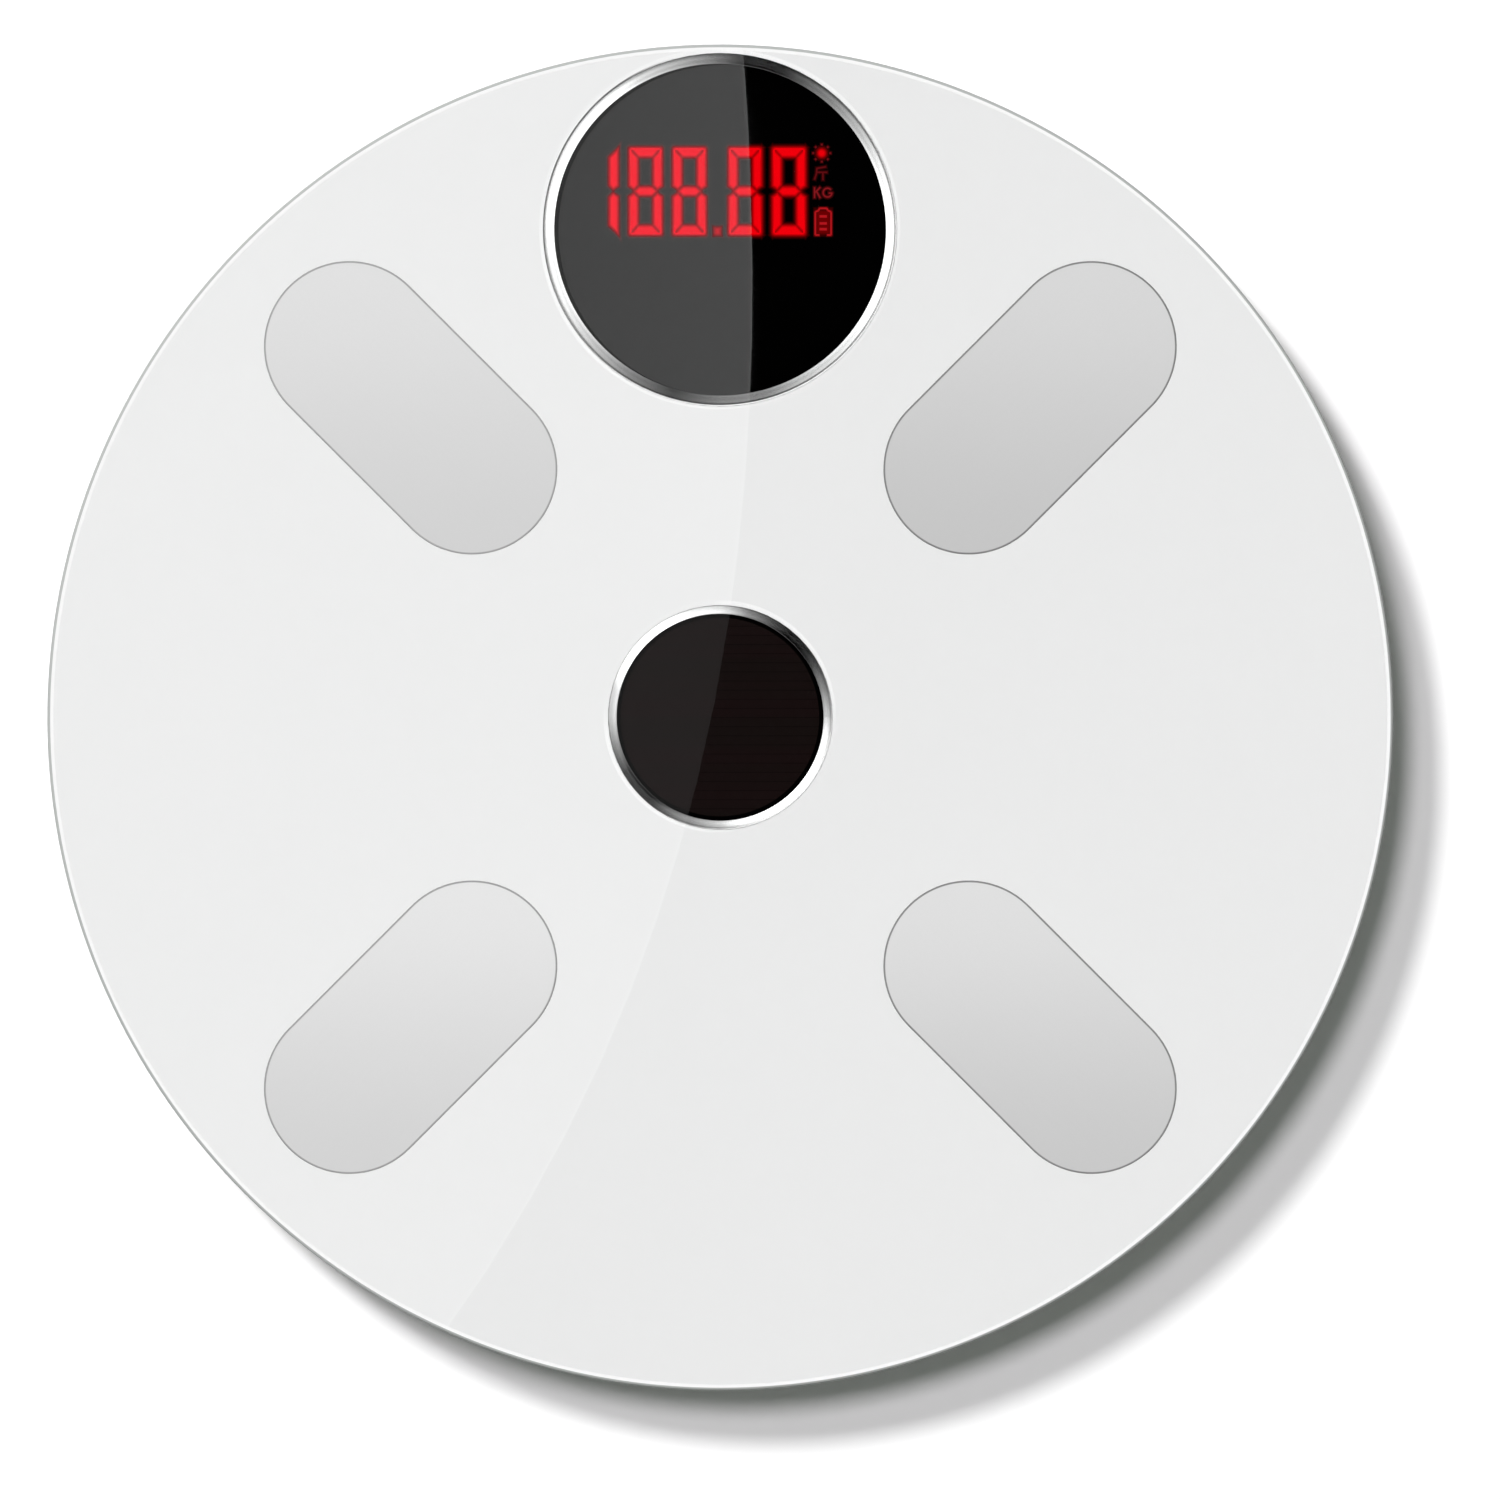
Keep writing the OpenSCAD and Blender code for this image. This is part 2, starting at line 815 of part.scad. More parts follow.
module display_board() {
    color("darkgreen")
        difference() {
            translate([0, display_board_y, display_board_z])
                linear_extrude(board_t)
                    rounded_rectangle(display_board_w, display_board_d, board_corner_r);
            display_screw_places()
                translate([0, 0, -over])
                    cylinder(h = board_z + 2 * over, d = screw_hole_d);
        }
}

// Two places in front of the reflector
module display_screw_places() {
    for (side = SIDES)
        translate([side * display_hole_x, display_hole_y, display_board_z])
            children();
}

// Flat cable outline: a strip of constant thickness along its route
function strip(route, thickness) = concat(
    [for (p = route) p + [0, thickness / 2]],
    [for (i = [len(route) - 1 : -1 : 0]) route[i] - [0, thickness / 2]]
);

module display_ribbon() {
    color("lightgray")
        translate([-ribbon_w / 2, 0, 0])
            rotate([90, 0, 90])
                linear_extrude(ribbon_w)
                    polygon(strip(RIBBON_ROUTE, ribbon_t));
}

// ---------- main board ----------

module board_screw_places() {
    for (x = SIDES, y = SIDES)
        translate([
            x * board_hole_x,
            board_offset + y * (board_d / 2 - board_hole_inset),
            board_z
        ])
            children();
}

module main_board() {
    color("darkgreen")
        difference() {
            translate([0, board_offset, board_z])
                linear_extrude(board_t)
                    rounded_rectangle(board_w, board_d, board_corner_r);
            board_screw_places()
                translate([0, 0, -over])
                    cylinder(h = board_t + 2 * over, d = screw_hole_d);
        }
}

module controller_chip() {
    chip_x = 2;
    chip_side = 9;
    chip_h = 1.4;
    leg_w = 0.35;
    leg_pitch = 0.8;
    leg_reach = 1.2;
    leg_t = 0.3;
    leg_count = 10;
    color([0.12, 0.12, 0.12])
        translate([chip_x, board_offset, board_top]) {
            translate([-chip_side / 2, -chip_side / 2, leg_t / 2])
                cube([chip_side, chip_side, chip_h]);
            for (turn = [0 : 90 : 270], i = [0 : leg_count - 1])
                rotate([0, 0, turn])
                    translate([chip_side / 2 - leg_t, (i - (leg_count - 1) / 2) * leg_pitch - leg_w / 2, 0])
                        cube([leg_reach + leg_t, leg_w, leg_t]);
        }
}

// Crystal, radial capacitors and rows of small chips
module board_parts() {
    crystal_l = 8;
    crystal_w = 3.6;
    crystal_h = 3.4;
    capacitor_d = 5;
    capacitor_h = 5.4;
    inductor_w = 4.4;
    inductor_h = 2.6;
    chip_l = 2;
    chip_w = 1.2;
    chip_h = 0.8;
    row_pitch = 2.2;
    row_count = 5;
    corner = 0.8;
    CRYSTAL_PLACE = [-12, 6];
    CAPACITOR_PLACES = [[13, 5.5], [19.5, 5.5]];
    INDUCTOR_PLACE = [-16, -3];
    ROW_PLACES = [[-9, -7.6], [-4, 9.4]];
    color("dimgray")
        translate([0, board_offset, board_top]) {
            translate(CRYSTAL_PLACE)
                linear_extrude(crystal_h)
                    rounded_rectangle(crystal_l, crystal_w, crystal_w / 2 - corner / 8);
            for (place = CAPACITOR_PLACES)
                translate(place)
                    cylinder(h = capacitor_h, d = capacitor_d);
            translate(INDUCTOR_PLACE)
                linear_extrude(inductor_h)
                    rounded_rectangle(inductor_w, inductor_w, corner);
            for (place = ROW_PLACES, i = [0 : row_count - 1])
                translate([place.x + i * row_pitch, place.y - chip_l / 2, 0])
                    cube([chip_w, chip_l, chip_h]);
        }
}

// Plug for a row of wires, entered from its +X side, on the board
module plug(ways) {
    width = (ways - 1) * plug_pitch + 2 * plug_margin;
    difference() {
        translate([-plug_depth, -width / 2, 0])
            cube([plug_depth, width, plug_h]);
        for (i = [0 : ways - 1])
            translate([-plug_bore_l, (i - (ways - 1) / 2) * plug_pitch, plug_h / 2])
                rotate([0, 90, 0])
                    cylinder(h = plug_bore_l + over, d = plug_bore_d);
        translate([-plug_depth / 2, 0, plug_h])
            cube([plug_edge, width / 2, plug_edge], center = true);
    }
}

module wire_plugs() {
    side_x = board_w / 2 + plug_overhang;
    front_y = board_offset - board_d / 2 - plug_overhang;
    color("ivory") {
        for (side = [0, 1])
            mirror([side, 0, 0]) {
                translate([side_x, board_offset + cell_plug_shift, board_top])
                    plug(3);
                translate([side_x, board_offset + electrode_plug_shift, board_top])
                    plug(2);
                translate([side_x, board_offset + cell_plug_shift - 2 * cell_plug_pitch, board_top])
                    plug(3);
            }
        for (x = [0, battery_plug_x])
            translate([x, front_y, board_top])
                rotate([0, 0, -90])
                    plug(2);
    }
}

module tact_switch() {
    color([0.2, 0.2, 0.2])
        translate([button_x, button_y, switch_z])
            difference() {
                translate([-switch_side / 2, -switch_side / 2, 0])
                    cube([switch_side, switch_side, switch_h]);
                translate([0, 0, -over])
                    cylinder(h = plunger_bore_h + over, d = plunger_bore_d);
            }
}

module board_screws() {
    color("silver") {
        board_screw_places()
            translate([0, 0, board_t])
                screw(board_screw_l);
        display_screw_places()
            translate([0, 0, board_t])
                screw(board_screw_l);
    }
}

// ---------- load cells ----------

// Steel plate with a bending beam and tongue inside a frame
module load_cell(angle) {
    color("lightsteelblue")
        at_corner(angle, foot_r)
            translate([0, 0, cell_z])
                linear_extrude(cell_t) {
                    difference() {
                        rounded_rectangle(cell_side, cell_side, cell_corner_r);
                        rounded_rectangle(cell_window, cell_window, window_corner_r);
                    }
                    translate([-cell_window / 2 - over, -beam_w / 2])
                        square([beam_l + over, beam_w]);
                    translate([beam_l - cell_window / 2 - over, -tongue_w / 2])
                        square([tongue_l + over, tongue_w]);
                }
}

module gauge_coatings() {
    color("whitesmoke")
        for (angle = CORNERS)
            at_corner(angle, foot_r)
                translate([coating_start + coating_l / 2 - cell_window / 2, 0, bracket_z])
                    linear_extrude(coating_t)
                        rounded_rectangle(coating_l, coating_w, coating_corner_r);
}

module load_cell_wires() {
    color("firebrick")
        for (side = [0, 1], shift = [-plug_pitch, 0, plug_pitch])
            mirror([side, 0, 0]) {
                wire(beside(REAR_CELL_ROUTE, shift));
                wire(beside(FRONT_CELL_ROUTE, shift));
            }
}

// Frame that clamps a load cell and carries the glass on its ring
module bracket(angle) {
    window = cell_window + bracket_window_gap;
    ring_r = bracket_ring_d / 2;
    ring_low = bracket_z + bracket_t;
    color("whitesmoke")
        at_corner(angle, foot_r) {
            translate([0, 0, bracket_z])
                linear_extrude(bracket_t)
                    difference() {
                        union() {
                            rounded_rectangle(bracket_side, bracket_side, bracket_corner_r);
                            square([2 * ear_r, 2 * ear_offset], center = true);
                            for (side = SIDES)
                                translate([0, side * ear_offset])
                                    circle(r = ear_r);
                        }
                        rounded_rectangle(window, window, window_corner_r);
                        translate([-bracket_side / 2 - over, -notch_w / 2])
                            square([bracket_side / 2, notch_w]);
                        for (side = SIDES)
                            translate([0, side * ear_offset])
                                circle(d = screw_hole_d);
                    }
            translate([0, 0, ring_low])
                ring(ring_r, ring_r - bracket_ring_t, print_z - ring_low);
            for (turn = [45 : 90 : 315])
                rotate([0, 0, turn])
                    translate([ring_r - bracket_ring_t / 2, gusset_t / 2, ring_low])
                        rotate([90, 0, 0])
                            linear_extrude(gusset_t)
                                polygon([[0, 0], [gusset_reach, 0], [0, gusset_h]]);
        }
}

module bracket_screws() {
    color("silver")
        for (angle = CORNERS, side = SIDES)
            at_corner(angle, foot_r)
                translate([0, side * ear_offset, bracket_z + bracket_t])
                    screw(bracket_screw_l);
}

// ---------- feet ----------

// Ring of hooked fingers that snaps through the tray's floor
module snap_neck() {
    neck_r = neck_d / 2;
    root = foot_t / 3;
    difference() {
        union() {
            translate([0, 0, foot_top - root])
                cylinder(h = hook_z + hook_h - foot_top + root, r = neck_r);
            translate([0, 0, hook_z])
                cylinder(h = hook_h, r1 = neck_r + hook_reach, r2 = neck_r);
        }
        translate([0, 0, foot_top - root - over])
            cylinder(h = hook_z + hook_h + over, r = neck_r - neck_t);
        for (i = [0 : finger_count - 1])
            rotate([0, 0, i * 360 / finger_count])
                translate([neck_r / 2, -finger_slot_w / 2, foot_top])
                    cube([neck_r, finger_slot_w, hook_z + hook_h]);
    }
}

module foot_cup(angle) {
    rib_l = (neck_d - neck_t) / 2 - boss_r + foot_rib_t / 2;
    root = foot_t / 3;
    color("whitesmoke")
        at_corner(angle, foot_r) {
            difference() {
                translate([0, 0, foot_z])
                    rounded_disc(foot_d / 2, foot_t, foot_edge_r);
                translate([0, 0, foot_z - over])
                    cylinder(h = pad_t - pad_proud + over, d = pad_d + fit_gap);
            }
            snap_neck();
            translate([0, 0, foot_top - root])
                cylinder(h = cell_z - foot_top + root, r = boss_r);
            for (i = [0 : foot_rib_count - 1])
                rotate([0, 0, (i + 0.5) * 360 / foot_rib_count])
                    translate([boss_r - foot_rib_t / 2, -foot_rib_t / 2, foot_top - root])
                        cube([rib_l, foot_rib_t, foot_rib_h + root]);
        }
}

module foot_pad(angle) {
    radius = pad_d / 2;
    color([0.25, 0.25, 0.26])
        at_corner(angle, foot_r)
            translate([0, 0, pad_z])
                difference() {
                    rotate_extrude()
                        polygon([
                            [0, 0], [radius - pad_chamfer, 0], [radius, pad_chamfer],
                            [radius, pad_t], [0, pad_t]
                        ]);
                    for (i = [1 : groove_count])
                        translate([0, 0, -over])
                            ring(i * groove_pitch + groove_w, i * groove_pitch, groove_depth + over);
                }
}

// ---------- batteries ----------

// Places of the two cells: each child lies with its cap towards +X
module battery_places() {
    for (side = SIDES)
        translate([0, bay_y + side * battery_step / 2, battery_z])
            mirror([side < 0 ? 1 : 0, 0, 0])
                children();
}

module battery_cells() {
    body_l = battery_l - battery_nub_h;
    can_end = bay_l / 2 - contact_t - contact_slack - battery_nub_h;
    color("slategray")
        battery_places()
            translate([can_end - body_l, 0, 0])
                rotate([90, 0, 90]) {
                    rounded_disc(battery_d / 2, body_l, battery_edge_r);
                    cylinder(h = battery_l, d = battery_nub_d);
                }
}

module battery_springs() {
    low = contact_t + contact_slack - bay_l / 2;
    turn_count = spring_turns * spring_steps;
    rise = spring_room - spring_wire_d;
    path = [
        for (i = [0 : turn_count])
            let (share = i / turn_count, r = spring_wide_r + (spring_tip_r - spring_wide_r) * share)
            [
                low + spring_wire_d / 2 + rise * share,
                r * cos(360 * i / spring_steps), r * sin(360 * i / spring_steps)
            ]
    ];
    color("silver")
        battery_places()
            tube(path, spring_wire_d, wire_sides);
}

// Two single plates with solder tabs on the right, and one plate across both cells on the left
module battery_contacts() {
    plate_x = bay_l / 2 - contact_slack - contact_t;
    color("silver") {
        for (side = SIDES)
            translate([plate_x, bay_y + side * battery_step / 2, 0]) {
                translate([0, -contact_w / 2, battery_z - contact_h / 2])
                    cube([contact_t, contact_w, contact_h]);
                translate([0, -solder_tab_w / 2, battery_z + contact_h / 2 - contact_t - tab_drop / 2])
                    cube([solder_tab_l, solder_tab_w, contact_t]);
            }
        translate([-plate_x - contact_t, bay_y - (battery_step + contact_w) / 2, battery_z - contact_h / 2])
            cube([contact_t, battery_step + contact_w, contact_h]);
    }
}

module battery_leads() {
    color("firebrick") {
        wire(INNER_BATTERY_ROUTE);
        wire(OUTER_BATTERY_ROUTE);
    }
}

// Outline of the cover, or of its recess when grown
module cover_outline(grow) {
    translate([0, bay_y])
        rounded_rectangle(cover_l + 2 * grow, cover_w + 2 * grow, cover_corner_r + grow);
    translate([-latch_w / 2 - grow, bay_y])
        square([latch_w + 2 * grow, cover_w / 2 + latch_reach + grow]);
}

module battery_cover() {
    edge = bay_y + cover_w / 2;
    outer_leg = edge + latch_reach - latch_leg_t - latch_clear;
    inner_leg = edge - latch_leg_t;
    leg_face = outer_leg + latch_leg_t;
    nose_low = cover_t / 2 + latch_nose_z;
    color("whitesmoke") {
        difference() {
            translate([0, 0, tray_z])
                linear_extrude(cover_t)
                    cover_outline(0);
            translate([-latch_w, edge, tray_z - over])
                cube([2 * latch_w, latch_slot, cover_t + 2 * over]);
            for (i = [0 : grip_count - 1])
                translate([-grip_l / 2, edge - grip_start - i * grip_pitch, tray_z - over])
                    cube([grip_l, grip_w, grip_depth + over]);
        }
        for (side = SIDES)
            translate([side * tab_spread - tab_w / 2, cover_edge_y - tab_l, tab_z])
                cube([tab_w, tab_l + 2 * tab_t, tab_t]);
        translate([-latch_w / 2 + latch_clear, 0, tray_z + cover_t / 2])
            rotate([90, 0, 90])
                linear_extrude(latch_w - 2 * latch_clear)
                    difference() {
                        union() {
                            translate([inner_leg, 0])
                                square([leg_face - inner_leg, latch_h]);
                            polygon([
                                [outer_leg, nose_low], [leg_face + latch_nose, nose_low],
                                [leg_face, nose_low + latch_nose_h], [outer_leg, nose_low + latch_nose_h]
                            ]);
                        }
                        translate([inner_leg + latch_leg_t, -over])
                            square([outer_leg - inner_leg - latch_leg_t, latch_h - latch_leg_t + over]);
                    }
    }
}

// ---------- unit button ----------

module unit_button() {
    cap_bottom = tray_z + button_sink;
    flange_bottom = floor_top + button_flange_gap;
    color("gray")
        translate([button_x, button_y, 0]) {
            translate([0, 0, cap_bottom])
                cylinder(h = plunger_bottom - cap_bottom, d = button_d);
            translate([0, 0, flange_bottom])
                cylinder(h = button_flange_t - button_flange_gap * 2, d = button_d + 2 * button_flange_w);
        }
}

module switch_plunger() {
    color([0.9, 0.9, 0.85])
        translate([button_x, button_y, plunger_bottom])
            cylinder(h = plunger_h, d = plunger_d);
}

// ---------- tray ----------

// Half section of the space inside a wall of the tray: the whole tray when inset is 0
module tray_section(inset, top) {
    radius = bend_r - inset;
    square_top = max(top, bend_z);
    intersection() {
        union() {
            translate([0, tray_z + inset])
                square([bend_x, square_top]);
            translate([bend_x, bend_z])
                circle(r = radius, $fn = 120);
            translate([0, bend_z])
                square([bend_x + radius, square_top]);
        }
        translate([0, tray_z + inset])
            square([glass_r, top - tray_z - inset]);
    }
}

module flange_section() {
    lip = flange_t / 2;
    translate([0, flange_z])
        square([flange_r - lip, flange_t]);
    translate([flange_r - lip, flange_z + lip])
        circle(r = lip);
}

// Everything inside the tray's outer face
module tray_block() {
    rotate_extrude($fn = 180) {
        tray_section(0, rim_z);
        flange_section();
    }
}

module tray_shell() {
    rotate_extrude($fn = 180)
        difference() {
            union() {
                tray_section(0, rim_z);
                flange_section();
            }
            tray_section(shell_t, rim_z + over);
        }
}

// Radial and round ribs on the floor
module tray_ribs() {
    inner_r = solar_r - well_ledge + well_tube_t / 2;
    height = rib_h + shell_t / 2;
    translate([0, 0, floor_top - shell_t / 2]) {
        for (i = [0 : rib_count - 1])
            rotate([0, 0, (i + 0.5) * 360 / rib_count])
                translate([inner_r, -rib_t / 2, 0])
                    cube([bend_x - inner_r, rib_t, height]);
        for (share = RIB_RINGS)
            ring(bend_x * share + rib_t / 2, bend_x * share - rib_t / 2, height);
    }
}

// Round wall that carries a window's glass and ring
module window_well(ring_r, seat_z) {
    tube_r = ring_r - well_ledge + well_tube_t;
    difference() {
        union() {
            translate([0, 0, floor_top - shell_t / 2])
                cylinder(h = rim_z - floor_top + shell_t / 2 - well_depth, r = tube_r);
            translate([0, 0, rim_z - well_depth])
                cylinder(h = well_depth, r = ring_r + well_gap + well_wall);
        }
        translate([0, 0, floor_top])
            cylinder(h = tray_h, r = ring_r - well_ledge);
        translate([0, 0, seat_z])
            cylinder(h = tray_h, r = ring_r + well_gap);
    }
}

// Post with a pilot hole for a screw
module post(low, high) {
    translate([0, 0, low])
        cylinder(h = high - low, d = boss_d);
}

// Hole for a screw that passes a plate and ends in a post
module pilot(high, shank_l, plate_t) {
    depth = shank_l - plate_t + pilot_spare;
    translate([0, 0, high - depth])
        cylinder(h = depth + over, d = pilot_d);
}

// Frame and ledge that locate one load cell, with its two bracket posts
module cell_seat() {
    inner = cell_side + 2 * fit_gap;
    outer = inner + 2 * locator_t;
    ledge = cell_side - 2 * cell_ledge;
    translate([0, 0, floor_top - shell_t / 2])
        linear_extrude(cell_z - floor_top + shell_t / 2)
            difference() {
                rounded_rectangle(outer, outer, cell_corner_r + fit_gap + locator_t);
                rounded_rectangle(ledge, ledge, cell_corner_r - cell_ledge);
            }
    translate([0, 0, cell_z])
        linear_extrude(locator_h)
            difference() {
                rounded_rectangle(outer, outer, cell_corner_r + fit_gap + locator_t);
                rounded_rectangle(inner, inner, cell_corner_r + fit_gap);
                translate([-outer / 2 - over, -notch_w / 2])
                    square([outer / 2, notch_w]);
            }
    for (side = SIDES)
        translate([0, side * ear_offset, 0])
            post(floor_top - shell_t / 2, bracket_z);
}

// Walls and roof of the battery bay, its latch pocket and its tab pockets
module bay_walls() {
    low = bay_floor;
    high = bay_top + bay_roof;
    latch_y = bay_y + cover_w / 2 + latch_reach + fit_gap;
    translate([0, 0, low])
        linear_extrude(high - low)
            translate([0, bay_y])
                rounded_rectangle(bay_l + 2 * bay_wall, bay_w + 2 * bay_wall, bay_wall);
    translate([-latch_w / 2 - bay_wall - fit_gap, bay_y, low])
        cube([latch_w + 2 * bay_wall + 2 * fit_gap, latch_y + bay_wall - bay_y, latch_h + 2 * bay_wall]);
    for (side = SIDES)
        translate([
            side * tab_spread - tab_w / 2 - fit_gap - pocket_wall,
            cover_edge_y - tab_l - fit_gap - pocket_wall, floor_top - shell_t / 2
        ])
            cube([
                tab_w + 2 * (fit_gap + pocket_wall), tab_l + cover_margin + fit_gap + pocket_wall,
                tray_z + tab_swing + pocket_wall - floor_top + shell_t / 2
            ]);
}

module bay_hollow() {
    latch_y = bay_y + cover_w / 2 + latch_reach + fit_gap;
    catch_y = latch_y - fit_gap - latch_clear + latch_nose + catch_gap;
    catch_z = tray_z + cover_t + latch_nose_z - catch_gap;
    tab_top = tray_z + tab_swing;
    translate([-bay_l / 2, bay_y - bay_w / 2, tray_z])
        cube([bay_l, bay_w, bay_top - tray_z]);
    translate([-latch_w / 2, bay_y, tray_z])
        cube([latch_w, catch_y - bay_y, latch_h + cover_t + cover_ledge_gap + fit_gap]);
    translate([-latch_w / 2, bay_y, catch_z])
        cube([latch_w, latch_y - bay_y, latch_h + tray_z + cover_t + cover_ledge_gap + fit_gap - catch_z]);
    translate([0, 0, tray_z - over])
        linear_extrude(bay_floor - tray_z + over)
            cover_outline(fit_gap);
    for (side = SIDES)
        translate([side * tab_spread - tab_w / 2 - fit_gap, cover_edge_y - tab_l - fit_gap, tray_z + lip_t])
            cube([tab_w + 2 * fit_gap, tab_l + cover_margin + 2 * fit_gap, tab_top - tray_z - lip_t]);
    for (side = SIDES)
        translate([
            bay_l / 2 - over,
            bay_y + side * battery_step / 2 - solder_tab_w / 2 - fit_gap,
            battery_z + contact_h / 2 - contact_t - tab_drop / 2 - fit_gap
        ])
            cube([bay_wall + 2 * over, solder_tab_w + 2 * fit_gap, contact_t + 2 * fit_gap]);
}

module base_tray() {
    ribbon_gate_w = ribbon_w + 2 * ribbon_margin;
    gate_low = display_board_z - board_t / 2;
    lead_gate_w = 11;
    lead_gate_low = 12.4;
    lead_gate_high = 15.2;
    color("white")
        difference() {
            union() {
                tray_shell();
                intersection() {
                    tray_block();
                    union() {
                        tray_ribs();
                        translate([0, display_y, 0])
                            window_well(display_r, lens_z);
                        window_well(solar_r, solar_z);
                        for (angle = CORNERS)
                            at_corner(angle, foot_r)
                                cell_seat();
                        board_screw_places()
                            translate([0, 0, -board_z])
                                post(floor_top - shell_t / 2, board_z);
                        display_screw_places()
                            translate([0, 0, -display_board_z])
                                post(floor_top - shell_t / 2, display_board_z);
                        for (side = SIDES)
                            translate([side * display_rest_x, display_rest_y, 0])
                                post(floor_top - shell_t / 2, display_board_z);
                        bay_walls();
                    }
                }
            }
            translate([0, display_y, lens_z])
                cylinder(h = tray_h, r = display_r + well_gap, $fn = 120);
            for (angle = CORNERS)
                at_corner(angle, foot_r) {
                    translate([0, 0, -over])
                        cylinder(h = floor_top + 2 * over, r = neck_d / 2 + neck_gap);
                    translate([0, 0, floor_top])
                        cylinder(h = cell_z - floor_top, r = neck_d / 2 + hook_reach + locator_t);
                    for (side = SIDES)
                        translate([0, side * ear_offset, 0])
                            pilot(bracket_z, bracket_screw_l, bracket_t);
                }
            board_screw_places()
                translate([0, 0, -board_z])
                    pilot(board_z, board_screw_l, board_t);
            display_screw_places()
                translate([0, 0, -display_board_z])
                    pilot(display_board_z, board_screw_l, board_t);
            bay_hollow();
            translate([button_x, button_y, 0]) {
                translate([0, 0, tray_z - over])
                    cylinder(h = shell_t + 2 * over, d = button_d + 2 * button_gap);
                translate([0, 0, tray_z])
                    cylinder(h = dish_depth, d1 = dish_d, d2 = dish_d - dish_fall);
                translate([0, 0, floor_top])
                    cylinder(h = rib_h + over, d = dish_d);
            }
            translate([-ribbon_gate_w / 2, display_y - display_r - well_wall - over, gate_low])
                cube([ribbon_gate_w, 2 * well_wall + well_ledge + 2 * over, lens_z - well_gap - gate_low]);
            translate([-lead_gate_w / 2, 0, lead_gate_low])
                cube([lead_gate_w, solar_r + well_wall + 2 * over, lead_gate_high - lead_gate_low]);
        }
}

// ---------- pieces ----------

glass_platform();
back_print();
mounting_tape();
base_tray();
electrode(rear_right);  // electrode_rear_right
electrode(rear_left);  // electrode_rear_left
electrode(front_left);  // electrode_front_left
electrode(front_right);  // electrode_front_right
electrode_bushes();
electrode_terminals();
electrode_nuts();
electrode_wires();
display_ring();
display_lens();
display_segments();
display_reflector();
display_board();
display_ribbon();
solar_ring();
solar_cell();
solar_leads();
main_board();
controller_chip();
board_parts();
wire_plugs();
tact_switch();
board_screws();
load_cell(rear_right);  // load_cell_rear_right
load_cell(rear_left);  // load_cell_rear_left
load_cell(front_left);  // load_cell_front_left
load_cell(front_right);  // load_cell_front_right
gauge_coatings();
load_cell_wires();
bracket(rear_right);  // bracket_rear_right
bracket(rear_left);  // bracket_rear_left
bracket(front_left);  // bracket_front_left
bracket(front_right);  // bracket_front_right
bracket_screws();
battery_cells();
battery_springs();
battery_contacts();
battery_leads();
battery_cover();
foot_cup(rear_right);  // foot_cup_rear_right
foot_cup(rear_left);  // foot_cup_rear_left
foot_cup(front_left);  // foot_cup_front_left
foot_cup(front_right);  // foot_cup_front_right
foot_pad(rear_right);  // foot_pad_rear_right
foot_pad(rear_left);  // foot_pad_rear_left
foot_pad(front_left);  // foot_pad_front_left
foot_pad(front_right);  // foot_pad_front_right
unit_button();
switch_plunger();
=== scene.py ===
import json
import math

import bmesh
import bpy
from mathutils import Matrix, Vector


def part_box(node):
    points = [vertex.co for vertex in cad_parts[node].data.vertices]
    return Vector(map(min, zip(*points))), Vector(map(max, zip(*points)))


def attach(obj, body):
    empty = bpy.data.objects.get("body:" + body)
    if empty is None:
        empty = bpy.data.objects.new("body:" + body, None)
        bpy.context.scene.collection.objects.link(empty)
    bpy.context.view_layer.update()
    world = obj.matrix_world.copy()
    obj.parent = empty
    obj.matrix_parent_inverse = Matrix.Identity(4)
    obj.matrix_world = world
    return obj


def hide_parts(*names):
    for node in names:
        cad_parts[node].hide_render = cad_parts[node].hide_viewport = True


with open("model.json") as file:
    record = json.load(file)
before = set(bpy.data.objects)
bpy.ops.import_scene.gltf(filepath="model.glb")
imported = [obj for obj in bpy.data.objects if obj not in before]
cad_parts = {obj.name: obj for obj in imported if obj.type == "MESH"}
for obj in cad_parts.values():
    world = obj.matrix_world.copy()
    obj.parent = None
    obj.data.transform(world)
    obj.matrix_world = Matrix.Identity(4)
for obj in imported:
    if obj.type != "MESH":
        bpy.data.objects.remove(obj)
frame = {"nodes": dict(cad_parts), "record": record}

MM = 0.001
FULL_TURN = 2 * math.pi
BODY = "base"
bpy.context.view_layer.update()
scene = bpy.context.scene


# ---------- places taken from the CAD ----------


def middle_of(box):
    return (box[0] + box[1]) / 2


def radius_of(box):
    return (box[1].x - box[0].x) / 2


GLASS_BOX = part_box("glass_platform")
LENS_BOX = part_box("display_lens")
SOLAR_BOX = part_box("solar_cell")
DISPLAY_CENTRE = middle_of(LENS_BOX)
SOLAR_CENTRE = middle_of(SOLAR_BOX)
DISPLAY_RING_W = 2.2 * MM
SOLAR_RING_W = 1.8 * MM
DISPLAY_RING_R = radius_of(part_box("display_ring"))
SOLAR_RING_R = radius_of(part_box("solar_ring"))
DISPLAY_RING_IN = DISPLAY_RING_R - DISPLAY_RING_W
SOLAR_RING_IN = SOLAR_RING_R - SOLAR_RING_W
ELECTRODE_R = 17.75 * MM

# How far above the windows the pieces on them start
ON_WINDOW = 0.001 * MM

# The glass is flat up to FLAT_R, and its edge is ground from ARRIS_R outwards
GLASS_R = GLASS_BOX[1].x
EDGE_ROUND = 0.6 * MM
FLAT_R = GLASS_R - EDGE_ROUND
ARRIS_R = FLAT_R - 0.6 * MM


# ---------- node trees and meshes ----------


